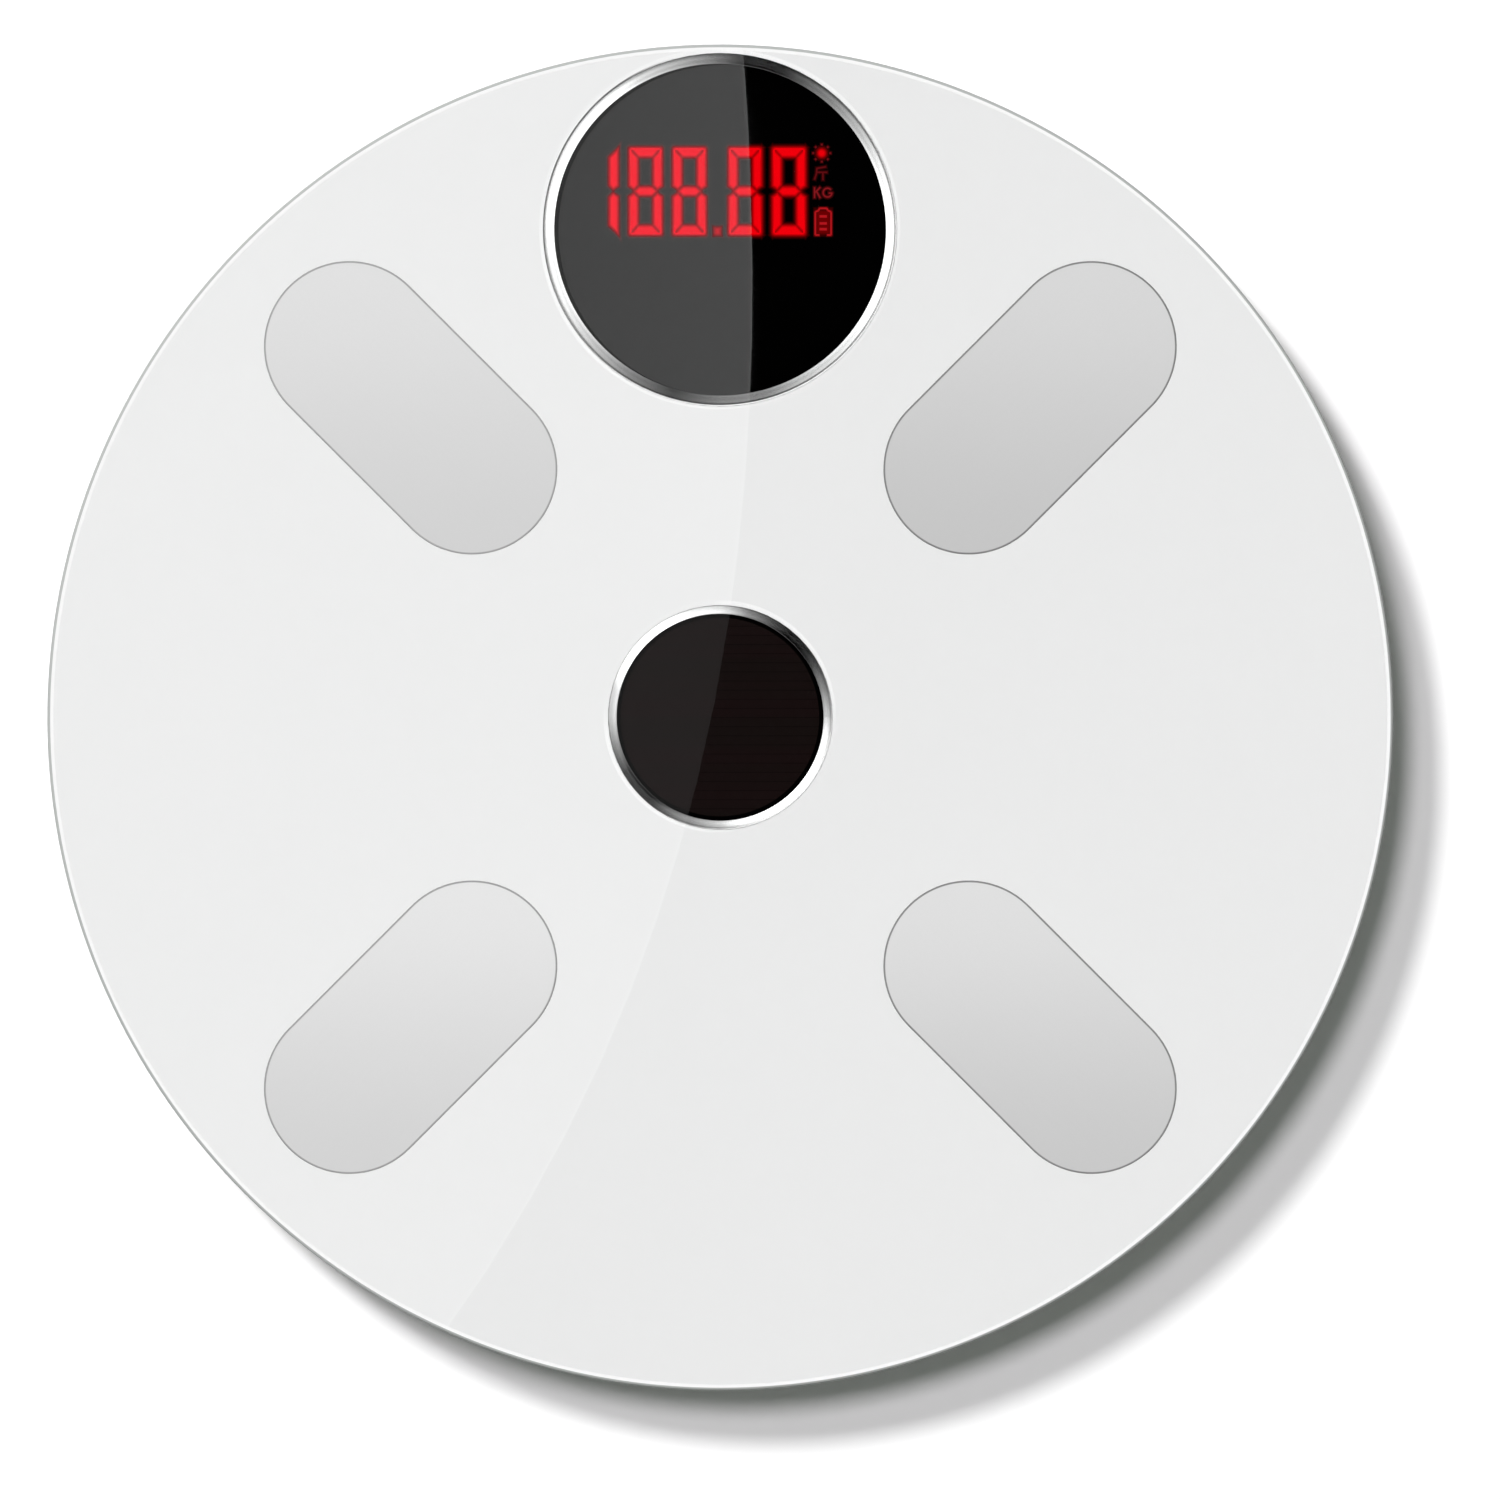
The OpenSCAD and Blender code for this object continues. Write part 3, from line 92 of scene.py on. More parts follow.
class Tree:
    """A material's node tree, with short calls for its nodes."""

    def __init__(self, name, world=False):
        data = bpy.data.worlds if world else bpy.data.materials
        self.owner = data.new(name)
        self.owner.use_nodes = True
        self.nodes = self.owner.node_tree.nodes
        self.links = self.owner.node_tree.links
        self.nodes.clear()
        self.end = self.nodes.new("ShaderNodeOutputWorld" if world else "ShaderNodeOutputMaterial")

    def add(self, kind, inputs=None, **settings):
        """A new node. Each input is linked to a socket or set to a value."""
        node = self.nodes.new("ShaderNode" + kind)
        for key, value in settings.items():
            setattr(node, key, value)
        for key, value in (inputs or {}).items():
            if isinstance(value, bpy.types.NodeSocket):
                self.links.new(value, node.inputs[key])
            else:
                node.inputs[key].default_value = value
        return node

    def surface(self, socket):
        """The finished material or world, with this shader."""
        self.links.new(socket, self.end.inputs["Surface"])
        return self.owner

    def paint(self, **inputs):
        """The finished material, made of one principled shader."""
        named = {key.replace("_", " "): value for key, value in inputs.items()}
        for key, value in named.items():
            if isinstance(value, tuple) and len(value) == 3:
                named[key] = (*value, 1)
        return self.surface(self.add("BsdfPrincipled", named).outputs[0])

    def shine(self, colour, strength=1.0):
        """The finished material, made of light alone."""
        inputs = {"Color": colour, "Strength": strength}
        return self.surface(self.add("Emission", inputs).outputs[0])

    def place(self):
        """Each point's place, in metres."""
        return self.add("TexCoord").outputs["Object"]

    def parts(self, vector):
        """The x, y and z of a vector."""
        return self.add("SeparateXYZ", {0: vector}).outputs

    def vector(self, x=0.0, y=0.0, z=0.0):
        return self.add("CombineXYZ", {0: x, 1: y, 2: z}).outputs[0]

    def from_centre(self, place, centre):
        inputs = {0: place, 1: centre}
        return self.add("VectorMath", inputs, operation="SUBTRACT").outputs[0]

    def length(self, vector):
        return self.add("VectorMath", {0: vector}, operation="LENGTH").outputs["Value"]

    def radius(self, place, centre=(0, 0, 0)):
        """Level distance from an upright line through centre."""
        x, y = self.parts(self.from_centre(place, centre))[:2]
        return self.length(self.vector(x, y))

    def curve(self, value, points):
        """A level for each value from 0 to 1, straight between the points."""
        ramp = self.add("ValToRGB", {"Fac": value})
        stops = ramp.color_ramp.elements
        while len(stops) < len(points):
            stops.new(0.5)
        for stop, (where, level) in zip(stops, points):
            stop.position = where
            stop.color = (level, level, level, 1)
        return ramp.outputs["Color"]

    def math(self, operation, a, b=0.0):
        return self.add("Math", {0: a, 1: b}, operation=operation).outputs[0]

    def times(self, a, b):
        return self.math("MULTIPLY", a, b)

    def noise(self, place, scale, detail=3.0, rough=0.5):
        inputs = {"Vector": place, "Scale": scale, "Detail": detail, "Roughness": rough}
        return self.add("TexNoise", inputs).outputs[0]

    def remap(self, value, start, end, low=0.0, high=1.0):
        """Low at start, high at end, straight between and level beyond."""
        inputs = {"Value": value, "From Min": start, "From Max": end, "To Min": low, "To Max": high}
        return self.add("MapRange", inputs).outputs[0]

    def spread(self, value, low, high):
        """Value from 0 to 1 stretched from low to high."""
        return self.remap(value, 0.0, 1.0, low, high)

    def band(self, value, start, end):
        """0 before start, 1 after end, smooth between. Start may be above end."""
        inputs = {"Value": value, "From Min": start, "From Max": end}
        return self.add("MapRange", inputs, interpolation_type="SMOOTHSTEP").outputs[0]

    def mix(self, share, a, b, blend="MIX"):
        node = self.add("Mix", data_type="RGBA", blend_type=blend)
        for socket, value in ((node.inputs[0], share), (node.inputs[6], a), (node.inputs[7], b)):
            if isinstance(value, bpy.types.NodeSocket):
                self.links.new(value, socket)
            elif socket.type == "RGBA":
                socket.default_value = (*value, 1)
            else:
                socket.default_value = value
        return node.outputs[2]

    def bump(self, height, depth, strength=1.0, after=None):
        """A normal. after is the normal that this one adds to."""
        inputs = {"Height": height, "Distance": depth, "Strength": strength}
        if after is not None:
            inputs["Normal"] = after
        return self.add("Bump", inputs).outputs[0]


def shade(colour, factor):
    return tuple(min(1.0, c * factor) for c in colour)


def grey(level):
    return (level, level, level)


def circle(bm, x, y, radius, height, steps):
    """New points on a level circle about x, y."""
    turns = [FULL_TURN * i / steps for i in range(steps)]
    return [bm.verts.new((x + radius * math.cos(a), y + radius * math.sin(a), height)) for a in turns]


def bridge(bm, lower, upper, material=0):
    """Faces between two closed loops of points."""
    for a, b, c, d in zip(lower, lower[1:] + lower[:1], upper[1:] + upper[:1], upper):
        bm.faces.new((a, b, c, d)).material_index = material


def new_object(bm, name, *materials):
    """A new object in the scene, with these materials. bm is freed."""
    mesh = bpy.data.meshes.new(name)
    bm.to_mesh(mesh)
    bm.free()
    for material in materials:
        mesh.materials.append(material)
    obj = bpy.data.objects.new(name, mesh)
    scene.collection.objects.link(obj)
    return obj


# ---------- materials ----------

# The photo's rings sit a little up and left of the CAD's, so their fine lines are drawn with this shift
LIP_SHIFT = Vector((-0.16, 0.19, 0)) * MM
BORE_SHIFT = Vector((-0.1, 0.1, 0)) * MM

# The black window: its polish, its black and the trace of soil on it
LENS_IOR = 1.8
LENS_POLISH = 0.012
LENS_BLACK = grey(0.0002)
LENS_SOIL = grey(0.0005)

# The lit figure is painted a little more crimson left of TINT_X, a painted reflection of the sheen that
# lies over it
PURE_RED = (1.0, 0.0, 0.004)
CRIMSON = (1.0, 0.0, 0.018)
TINT_X = 5.75 * MM
TINT_BLUR = 0.2 * MM


def moulded(name, colour, rough=0.45, grain=1500):
    """Moulded plastic: eroded grain, faint flow mottling and a little soil in small dark specks."""
    t = Tree(name)
    place = t.place()
    flow = t.noise(place, 14, 2)
    fine = t.noise(place, grain, 2, 0.6)
    specks = t.noise(place, grain / 6, 4, 0.7)
    base = t.mix(flow, shade(colour, 0.95), shade(colour, 1.025))
    base = t.mix(t.spread(t.band(specks, 0.62, 0.8), 0, 0.06), base, shade(colour, 0.55))
    roughness = t.spread(fine, rough - 0.08, rough + 0.1)
    normal = t.bump(fine, 0.012 * MM, 0.6)
    normal = t.bump(flow, 0.02 * MM, 0.4, normal)
    return t.paint(Base_Color=base, Roughness=roughness, Normal=normal)


def rubber(name, colour, rough=0.8, grain=900):
    """Rubber: dull, with a fine granular skin and a pale bloom."""
    t = Tree(name)
    place = t.place()
    skin = t.noise(place, grain, 4, 0.65)
    cloud = t.noise(place, 60, 3)
    pale = tuple(c + 0.1 * (1 - c) for c in colour)
    base = t.mix(t.band(cloud, 0.4, 0.75), colour, pale)
    base = t.mix(t.band(skin, 0.55, 0.8), base, shade(colour, 0.7))
    normal = t.bump(skin, 0.03 * MM, 0.8)
    roughness = t.spread(cloud, rough - 0.06, rough + 0.08)
    return t.paint(Base_Color=base, Roughness=roughness, Normal=normal)


def foam(name, colour):
    """Closed-cell foam: small round cells in a soft skin."""
    t = Tree(name)
    cells = t.add("TexVoronoi", {"Vector": t.place(), "Scale": 2600.0}).outputs["Distance"]
    base = t.mix(t.band(cells, 0.1, 0.6), shade(colour, 0.82), colour)
    return t.paint(Base_Color=base, Roughness=0.85, Normal=t.bump(cells, 0.05 * MM, 0.7))


def metal(name, colour, rough=0.25, grain=700):
    """Plated or rolled metal: fine grain, clouded polish and faint handling marks."""
    t = Tree(name)
    place = t.place()
    cloud = t.noise(place, 90, 3)
    fine = t.noise(place, grain, 4, 0.7)
    base = t.mix(cloud, shade(colour, 0.9), colour)
    roughness = t.spread(fine, rough - 0.06, rough + 0.12)
    normal = t.bump(fine, 0.004 * MM, 0.5)
    return t.paint(Base_Color=base, Metallic=1.0, Roughness=roughness, Normal=normal)


def insulation(name, colour):
    """Wire insulation: extruded vinyl with faint rings and a soft gloss."""
    t = Tree(name)
    rings = t.noise(t.place(), 1100, 2)
    base = t.mix(rings, shade(colour, 0.8), shade(colour, 1.1))
    normal = t.bump(rings, 0.01 * MM, 0.5)
    return t.paint(Base_Color=base, Roughness=t.spread(rings, 0.38, 0.52), Normal=normal)


def circuit_board(name, colour):
    """Circuit board: green mask over paler copper tracks."""
    t = Tree(name)
    place = t.place()
    bricks = t.add("TexBrick", {"Vector": place, "Scale": 420.0, "Mortar Size": 0.06})
    tracks = bricks.outputs["Fac"]
    weave = t.noise(place, 2400, 2)
    base = t.mix(tracks, colour, shade(colour, 1.9))
    base = t.mix(t.spread(weave, 0, 0.25), base, shade(colour, 0.6))
    normal = t.bump(tracks, 0.03 * MM, 0.6)
    return t.paint(Base_Color=base, Roughness=t.spread(weave, 0.22, 0.36), Normal=normal)


def clear_glass(name):
    """Clear float glass, faintly uneven in tint."""
    t = Tree(name)
    wave = t.noise(t.place(), 25, 1)
    tint = t.mix(wave, (0.985, 0.99, 0.987), (0.995, 0.998, 0.996))
    return t.paint(Base_Color=tint, Roughness=0.0, IOR=1.5, Transmission_Weight=1.0)


def ground_edge(name):
    """Ground glass edge: a bright narrow arris, which is ground glass and also a painted highlight of
    the glass edge, then the grey rounding, both finely scratched.
    """
    t = Tree(name)
    place = t.place()
    wall = t.band(t.radius(place), FLAT_R - 0.02 * MM, FLAT_R + 0.04 * MM)
    stretched = t.add("Mapping", {"Vector": place, "Scale": (900.0, 900.0, 60.0)}).outputs[0]
    scratches = t.noise(stretched, 1, 3, 0.7)
    # Near-white arris: ground glass, and partly a painted highlight of the glass edge
    base = t.mix(wall, grey(0.96), (0.45, 0.465, 0.455))
    base = t.mix(t.spread(scratches, 0, 0.08), base, (0.6, 0.62, 0.61))
    roughness = t.spread(scratches, 0.5, 0.7)
    normal = t.bump(scratches, 0.01 * MM, 0.3)
    return t.paint(Base_Color=base, Roughness=roughness, Specular_IOR_Level=0.1, Normal=normal)


# Painted light in the print round the windows. The bright line, a painted highlight, lies the distance
# below outside the ring, and least is how faint it gets. The dark gap, painted shadow, is full up to
# GAP_FULL outside the ring and ends at GAP_END. dark is how strong it is, and it fades from LEFT_FULL to
# LEFT_END, in shares of the ring's radius.
HIGHLIGHT_OUT = 1.0 * MM
LINE_BLUR = 0.12 * MM
GAP_FULL = 0.15 * MM
GAP_END = 0.3 * MM
LEFT_FULL = -0.6
LEFT_END = -0.2
WINDOWS = (
    {"centre": DISPLAY_CENTRE, "ring_r": 36.55 * MM, "least": 0.5, "dark": 1.0},
    {"centre": SOLAR_CENTRE, "ring_r": 23.2 * MM, "least": 0.1, "dark": 0.0},
)


def round_window(t, place, base, centre, ring_r, least, dark):
    """The print's colour, with a painted highlight line round a window and painted shadow in the gap at
    the ring's left.

    The painted highlight is whitest at the upper right and the lower left.
    """
    x, y = t.parts(t.from_centre(place, centre))[:2]
    diagonal = t.math("DIVIDE", t.times(x, y), ring_r * ring_r / 2)
    share = t.remap(diagonal, -0.3, 0.5, least, 1.0)
    # Painted highlight: a near-white line outside the ring
    drawn = t.radius(place, centre + LIP_SHIFT)
    line = t.band(drawn, ring_r + HIGHLIGHT_OUT + LINE_BLUR, ring_r + HIGHLIGHT_OUT - LINE_BLUR)
    base = t.mix(t.times(line, share), base, grey(1.0))
    # Painted shadow in the gap outside the ring, towards its left
    gap = t.band(drawn, ring_r + GAP_END, ring_r + GAP_FULL)
    leftward = t.band(x, LEFT_END * ring_r, LEFT_FULL * ring_r)
    return t.mix(t.times(t.times(gap, leftward), dark), base, grey(0.12))


def back_print(name):
    """White ink under the glass, with the faint grain of the screen it was printed through, and painted
    highlight and shadow round the windows.
    """
    t = Tree(name)
    place = t.place()
    grain = t.noise(place, 1800, 2)
    base = t.mix(t.noise(place, 9, 2), grey(0.885), grey(0.895))
    base = t.mix(t.spread(grain, 0, 0.05), base, grey(0.8))
    for window in WINDOWS:
        base = round_window(t, place, base, **window)
    normal = t.bump(grain, 0.004 * MM, 0.3)
    return t.paint(Base_Color=base, Roughness=0.55, Specular_IOR_Level=0.2, Normal=normal)


# How much of a ring's width leans inwards, and how sharply its lines start and end
LEANING = 1 / 8
SHARP = 0.02 * MM
LIP_BLUR = 0.04 * MM
WHITE_BLUR = 0.03 * MM


def turned_chrome(name, centre, inner, outer, steps, slope, lip, lip_tone, beyond):
    """Polished turned ring: painted bands of light and shade, black painted shadow at its bore, and a
    pale painted highlight along its outer edge.

    steps are the tones of its painted bands, from inner to outer. lip is where the thin outer line of
    painted shade starts and ends, lip_tone is the line's tone, and beyond is the tone of the painted
    highlight outside it. The outermost part leans inwards, the more the greater slope is.
    """
    t = Tree(name)
    place = t.place()
    radius = t.radius(place, centre)
    lines = t.noise(t.vector(radius), 9000, 3, 0.7)
    base = t.mix(t.noise(place, 70, 2), (0.95, 0.95, 0.955), grey(0.98))
    # Painted light and shade: the ring's bands of tone, by radius
    base = t.mix(1.0, base, t.curve(t.remap(radius, inner, outer), steps), "MULTIPLY")
    drawn = t.radius(place, centre + LIP_SHIFT)
    bore = t.radius(place, centre + BORE_SHIFT)
    # Painted shadow: black at the edge of the bore, widest at the upper left
    out_of_bore_shadow = t.band(bore, inner - 0.03 * MM, inner + 0.07 * MM)
    # Painted highlight: pale and dull beyond the lip; painted shade: the lip's thin darker line
    white = t.band(drawn, lip[1] - WHITE_BLUR, lip[1] + WHITE_BLUR)
    base = t.mix(t.band(drawn, lip[0] - LIP_BLUR, lip[0] + LIP_BLUR), base, grey(lip_tone))
    base = t.mix(white, base, grey(beyond))
    base = t.mix(out_of_bore_shadow, grey(0.02), base)
    roughness = t.math("MAXIMUM", t.spread(lines, 0.03, 0.09), t.times(white, 0.5))
    x, y = t.parts(t.from_centre(place, centre))[:2]
    lean = t.vector(t.times(x, -1.0), t.times(y, -1.0), t.math("DIVIDE", radius, slope))
    leaning = t.add("VectorMath", {0: lean}, operation="NORMALIZE").outputs[0]
    own_way = t.add("NewGeometry").outputs["Normal"]
    lean_from = outer - (outer - inner) * LEANING
    upright = t.band(radius, lean_from + SHARP, lean_from - SHARP)
    way = t.add("Mix", {0: upright, 4: leaning, 5: own_way}, data_type="VECTOR").outputs[1]
    metallic = t.times(out_of_bore_shadow, t.math("SUBTRACT", 1.0, white))
    normal = t.bump(lines, 0.001 * MM, 0.3, way)
    return t.paint(
        Base_Color=base, Metallic=metallic, Roughness=roughness, Specular_IOR_Level=0.2, Normal=normal
    )


# How far clouds in the steel move its painted light, lighter at the top, and where the thin painted
# shade line along its rim lies
CLOUD_SHIFT = 4 * MM
RIM_IN = 0.46 * MM
RIM_OUT = 0.3 * MM


def satin_steel(name, box, tone, painted_light_swing, rim_shade):
    """Satin stainless steel: grain along the electrode, painted light that is lighter at the top than at
    the bottom, and a thin rim line of painted shade.
    """
    middle = middle_of(box)
    t = Tree(name)
    own = t.from_centre(t.place(), middle)
    turn = {"Vector": own, "Angle": -math.atan2(middle.y, middle.x)}
    along = t.add("VectorRotate", turn, rotation_type="Z_AXIS").outputs[0]
    stretched = t.add("Mapping", {"Vector": along, "Scale": (90.0, 3200.0, 90.0)}).outputs[0]
    brushed = t.noise(stretched, 1, 3, 0.6)
    fine = t.noise(own, 2600, 3, 0.65)
    cloud = t.noise(own, 45, 2)
    half_height = (box[1].y - box[0].y) / 2
    # Painted light: lighter towards the top, darker towards the bottom
    rise = t.math("ADD", t.parts(own)[1], t.times(cloud, CLOUD_SHIFT))
    share = t.band(rise, -half_height, half_height + CLOUD_SHIFT)
    base = t.mix(share, grey(tone * (1 - painted_light_swing)), grey(tone * (1 + painted_light_swing)))
    base = t.mix(t.spread(fine, 0, 0.12), base, grey(tone * 0.8))
    spine = (radius_of(box) - ELECTRODE_R) / math.cos(math.radians(45))
    lengthwise, crosswise = t.parts(along)[:2]
    beyond = t.math("SUBTRACT", t.math("ABSOLUTE", lengthwise), spine)
    rim = t.length(t.vector(t.math("MAXIMUM", beyond, 0.0), crosswise))
    # Painted shade: a thin darker line along the rim
    line = t.band(rim, ELECTRODE_R - RIM_IN, ELECTRODE_R - RIM_OUT)
    base = t.mix(line, base, grey(tone * rim_shade))
    normal = t.bump(brushed, 0.0015 * MM, 0.35)
    return t.paint(Base_Color=base, Metallic=0.6, Roughness=t.spread(brushed, 0.42, 0.54), Normal=normal)


def smoked_lens(name):
    """Black window: nearly mirror-smooth, with the faint marks of wiping."""
    t = Tree(name)
    wipes = t.noise(t.place(), 40, 3)
    base = t.mix(wipes, LENS_BLACK, LENS_SOIL)
    return t.paint(Base_Color=base, Roughness=t.spread(wipes, 0.0, LENS_POLISH), IOR=LENS_IOR)


# Half the distance between the solar film's scribed lines, their width, and where its black
# border starts
SCRIBE_HALF = 0.95 * MM
SCRIBE_W = 0.12 * MM
BORDER_R = 21.0 * MM
BORDER_BLUR = 0.2 * MM


def solar_glass(name, centre):
    """Dark solar film: level scribed lines, slight colour bands and a black border."""
    t = Tree(name)
    x, y = t.parts(t.from_centre(t.place(), centre))[:2]
    flat = t.vector(x, y)
    line = t.band(t.math("PINGPONG", y, SCRIBE_HALF), 0.0, SCRIBE_W)
    bands = t.noise(t.vector(y=y), 160, 2)
    grain = t.noise(flat, 900, 2)
    film = t.mix(t.band(bands, 0.4, 0.6), (0.0092, 0.0050, 0.0050), (0.0078, 0.0052, 0.0048))
    film = t.mix(t.spread(grain, 0, 0.2), film, (0.0056, 0.0038, 0.0038))
    film = t.mix(line, (0.0030, 0.0020, 0.0020), film)
    film = t.mix(t.band(t.length(flat), BORDER_R, BORDER_R + BORDER_BLUR), film, grey(0.0004))
    normal = t.bump(line, 0.002 * MM, 0.2)
    roughness = t.spread(grain, 0.04, 0.1)
    return t.paint(Base_Color=film, Roughness=roughness, Specular_IOR_Level=0.05, Normal=normal)


def red_light(name, strength, colour=PURE_RED, left_colour=None, in_window=False):
    """Lit red guide: bright in the middle and fading to its edges, with a fine grain.

    left_colour is the tint painted left of TINT_X, as a painted reflection of the sheen. in_window is
    for the faint glow in the window itself, which mirrors as the window does.
    """
    t = Tree(name)
    place = t.place()
    # Painted reflection: a little more crimson left of TINT_X
    if left_colour:
        rightward = t.band(t.parts(place)[0], TINT_X - TINT_BLUR, TINT_X + TINT_BLUR)
        colour = t.mix(rightward, left_colour, colour)
    grain = t.noise(place, 1500, 2)
    fade = t.add("Attribute", attribute_name="glow").outputs["Fac"]
    glow = t.times(fade, t.spread(grain, strength * 0.95, strength * 1.05))
    lit = {"Emission_Color": colour, "Emission_Strength": glow}
    if in_window:
        base = t.mix(grain, LENS_BLACK, LENS_SOIL)
        roughness = t.spread(t.noise(place, 40, 3), 0.0, LENS_POLISH)
        return t.paint(Base_Color=base, Roughness=roughness, IOR=LENS_IOR, **lit)
    base = t.mix(grain, (0.004, 0.0001, 0.0002), (0.006, 0.0002, 0.0003))
    return t.paint(Base_Color=base, Roughness=0.4, Specular_IOR_Level=0.0, **lit)


def painted_shadow_black(name):
    """Black that paints shadow along the edge of a window."""
    t = Tree(name)
    base = t.mix(t.noise(t.place(), 1500, 2), grey(0.0003), grey(0.0008))
    return t.paint(Base_Color=base, Roughness=0.7, Specular_IOR_Level=0.0)


def battery_skin(name, box):
    """Battery: dark sleeve between bright steel ends."""
    t = Tree(name)
    place = t.place()
    half = radius_of(box)
    reach = t.math("ABSOLUTE", t.math("SUBTRACT", t.parts(place)[0], middle_of(box).x))
    end = t.band(reach, half - 2.2 * MM, half - 2.0 * MM)
    grain = t.noise(place, 800, 3)
    sleeve = t.mix(grain, (0.03, 0.04, 0.06), (0.06, 0.075, 0.1))
    steel = t.mix(grain, (0.55, 0.55, 0.56), (0.68, 0.68, 0.69))
    base = t.mix(end, sleeve, steel)
    normal = t.bump(grain, 0.003 * MM, 0.4)
    return t.paint(Base_Color=base, Metallic=end, Roughness=t.spread(grain, 0.26, 0.38), Normal=normal)


FINISHES = {
    "clear_glass": clear_glass("clear_glass"),
    "white_print": back_print("white_print"),
    "foam": foam("foam", (0.78, 0.78, 0.77)),
    "white_abs": moulded("white_abs", (0.8, 0.8, 0.79)),
    "nylon": moulded("nylon", (0.82, 0.79, 0.7), 0.5, 900),
    "tinned_brass": metal("tinned_brass", (0.78, 0.68, 0.46), 0.3),
    "zinc_steel": metal("zinc_steel", (0.72, 0.73, 0.76), 0.28),
    "grey_wire": insulation("grey_wire", (0.1, 0.1, 0.11)),
    "smoked_lens": smoked_lens("smoked_lens"),
    "red_light": red_light("red_light", 1.0),
    "black_abs": moulded("black_abs", (0.02, 0.02, 0.02), 0.5),
    "green_board": circuit_board("green_board", (0.015, 0.12, 0.045)),
    "flat_cable": insulation("flat_cable", (0.6, 0.6, 0.58)),
    "solar_glass": solar_glass("solar_glass", SOLAR_CENTRE),
    "black_epoxy": moulded("black_epoxy", (0.012, 0.012, 0.013), 0.6, 2200),
    "tinned_parts": metal("tinned_parts", (0.62, 0.62, 0.64), 0.35),
    "white_silicone": rubber("white_silicone", (0.8, 0.8, 0.78), 0.5, 500),
    "red_wire": insulation("red_wire", (0.42, 0.02, 0.02)),
    "cell_steel": metal("cell_steel", (0.58, 0.6, 0.64), 0.32, 500),
    "rubber_pad": rubber("rubber_pad", (0.05, 0.05, 0.052)),
    "grey_abs": moulded("grey_abs", (0.3, 0.31, 0.32), 0.42),
    "battery_sleeve": battery_skin("battery_sleeve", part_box("battery_cells")),
}

# The two rings' sizes and looks, as turned_chrome takes them. Their steps are painted bands of light and
# shade, lip_tone is a painted shade line and beyond a painted highlight.
RINGS = {
    "display_ring": {
        "centre": DISPLAY_CENTRE, "inner": DISPLAY_RING_IN, "outer": DISPLAY_RING_R,
        "steps": (
            (0, 0.9), (0.1, 1.0), (0.34, 0.75), (0.58, 0.87), (0.72, 0.8), (0.85, 0.5), (1.0, 0.5),
        ),
        "slope": 0.26, "lip": (36.3 * MM, 36.66 * MM), "lip_tone": 0.28, "beyond": 0.97,
    },
    "solar_ring": {
        "centre": SOLAR_CENTRE, "inner": SOLAR_RING_IN, "outer": SOLAR_RING_R,
        "steps": ((0, 0.8), (0.27, 1.0), (0.6, 0.78), (0.8, 0.7), (0.86, 0.7)),
        "slope": 0.317, "lip": (22.95 * MM, 23.36 * MM), "lip_tone": 0.5, "beyond": 0.9,
    },
}

# The four electrodes' looks, as satin_steel takes them. Each tone is painted light: the right ones are
# painted darker as shade, and so are their rim lines.
ELECTRODES = {
    "electrode_rear_left": {"tone": 0.69, "painted_light_swing": 0.08, "rim_shade": 0.56},
    "electrode_rear_right": {"tone": 0.616, "painted_light_swing": 0.105, "rim_shade": 0.38},
    "electrode_front_left": {"tone": 0.716, "painted_light_swing": 0.105, "rim_shade": 0.5},
    "electrode_front_right": {"tone": 0.654, "painted_light_swing": 0.13, "rim_shade": 0.38},
}


def finish_of(node, slot):
    """The material of a node: its own, or the one for its slot."""
    if node in RINGS:
        return turned_chrome(node + "_chrome", **RINGS[node])
    if node in ELECTRODES:
        return satin_steel(node + "_steel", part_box(node), **ELECTRODES[node])
    return FINISHES[slot]


for part in frame["record"]["subparts"]:
    shown = frame["nodes"][part["node"]]
    for holder in shown.material_slots:
        holder.material = finish_of(part["node"], part["material_slot"])
    if part["node"] in ELECTRODES:
        shown.visible_shadow = False
        shown.visible_diffuse = False


# ---------- the glass again, finely rounded, with its edge finished as ground glass ----------

RIM_STEPS = 480
ROUND_STEPS = 10
STUD_HOLE_R = 3.0 * MM
HOLE_STEPS = 48
STUD_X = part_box("electrode_rear_right")[0].x + ELECTRODE_R


def rim_profile():
    """Points up the edge of the glass, each with its radius, its height and the way it faces."""
    low = GLASS_BOX[0].z
    high = GLASS_BOX[1].z
    points = [(ARRIS_R, low, (0, -1))]
    for i in range(ROUND_STEPS + 1):
        a = math.radians(-90 + 90 * i / ROUND_STEPS)
        way = (math.cos(a), math.sin(a))
        points.append((FLAT_R + EDGE_ROUND * way[0], low + EDGE_ROUND * (1 + way[1]), way))
    upper = [(r, low + high - z, (out, -up)) for r, z, (out, up) in points]
    return points + upper[::-1]


def rim_loops(bm, facing):
    """The edge of the glass. The way that each of its points faces goes into facing."""
    loops = []
    for r, z, (out, up) in rim_profile():
        loop = circle(bm, 0, 0, r, z, RIM_STEPS)
        for i, vert in enumerate(loop):
            a = FULL_TURN * i / RIM_STEPS
            facing[vert] = Vector((out * math.cos(a), out * math.sin(a), up))
        loops.append(loop)
    for lower, upper in zip(loops, loops[1:]):
        bridge(bm, lower, upper, 1)
    return loops


def stud_holes(bm):
    """Four holes, each with its lower and its upper loop of points."""
    holes = []
    for x, y in ((1, 1), (-1, 1), (-1, -1), (1, -1)):
        pair = [circle(bm, x * STUD_X, y * STUD_X, STUD_HOLE_R, end.z, HOLE_STEPS) for end in GLASS_BOX]
        bridge(bm, pair[1], pair[0])
        holes.append(pair)
    return holes


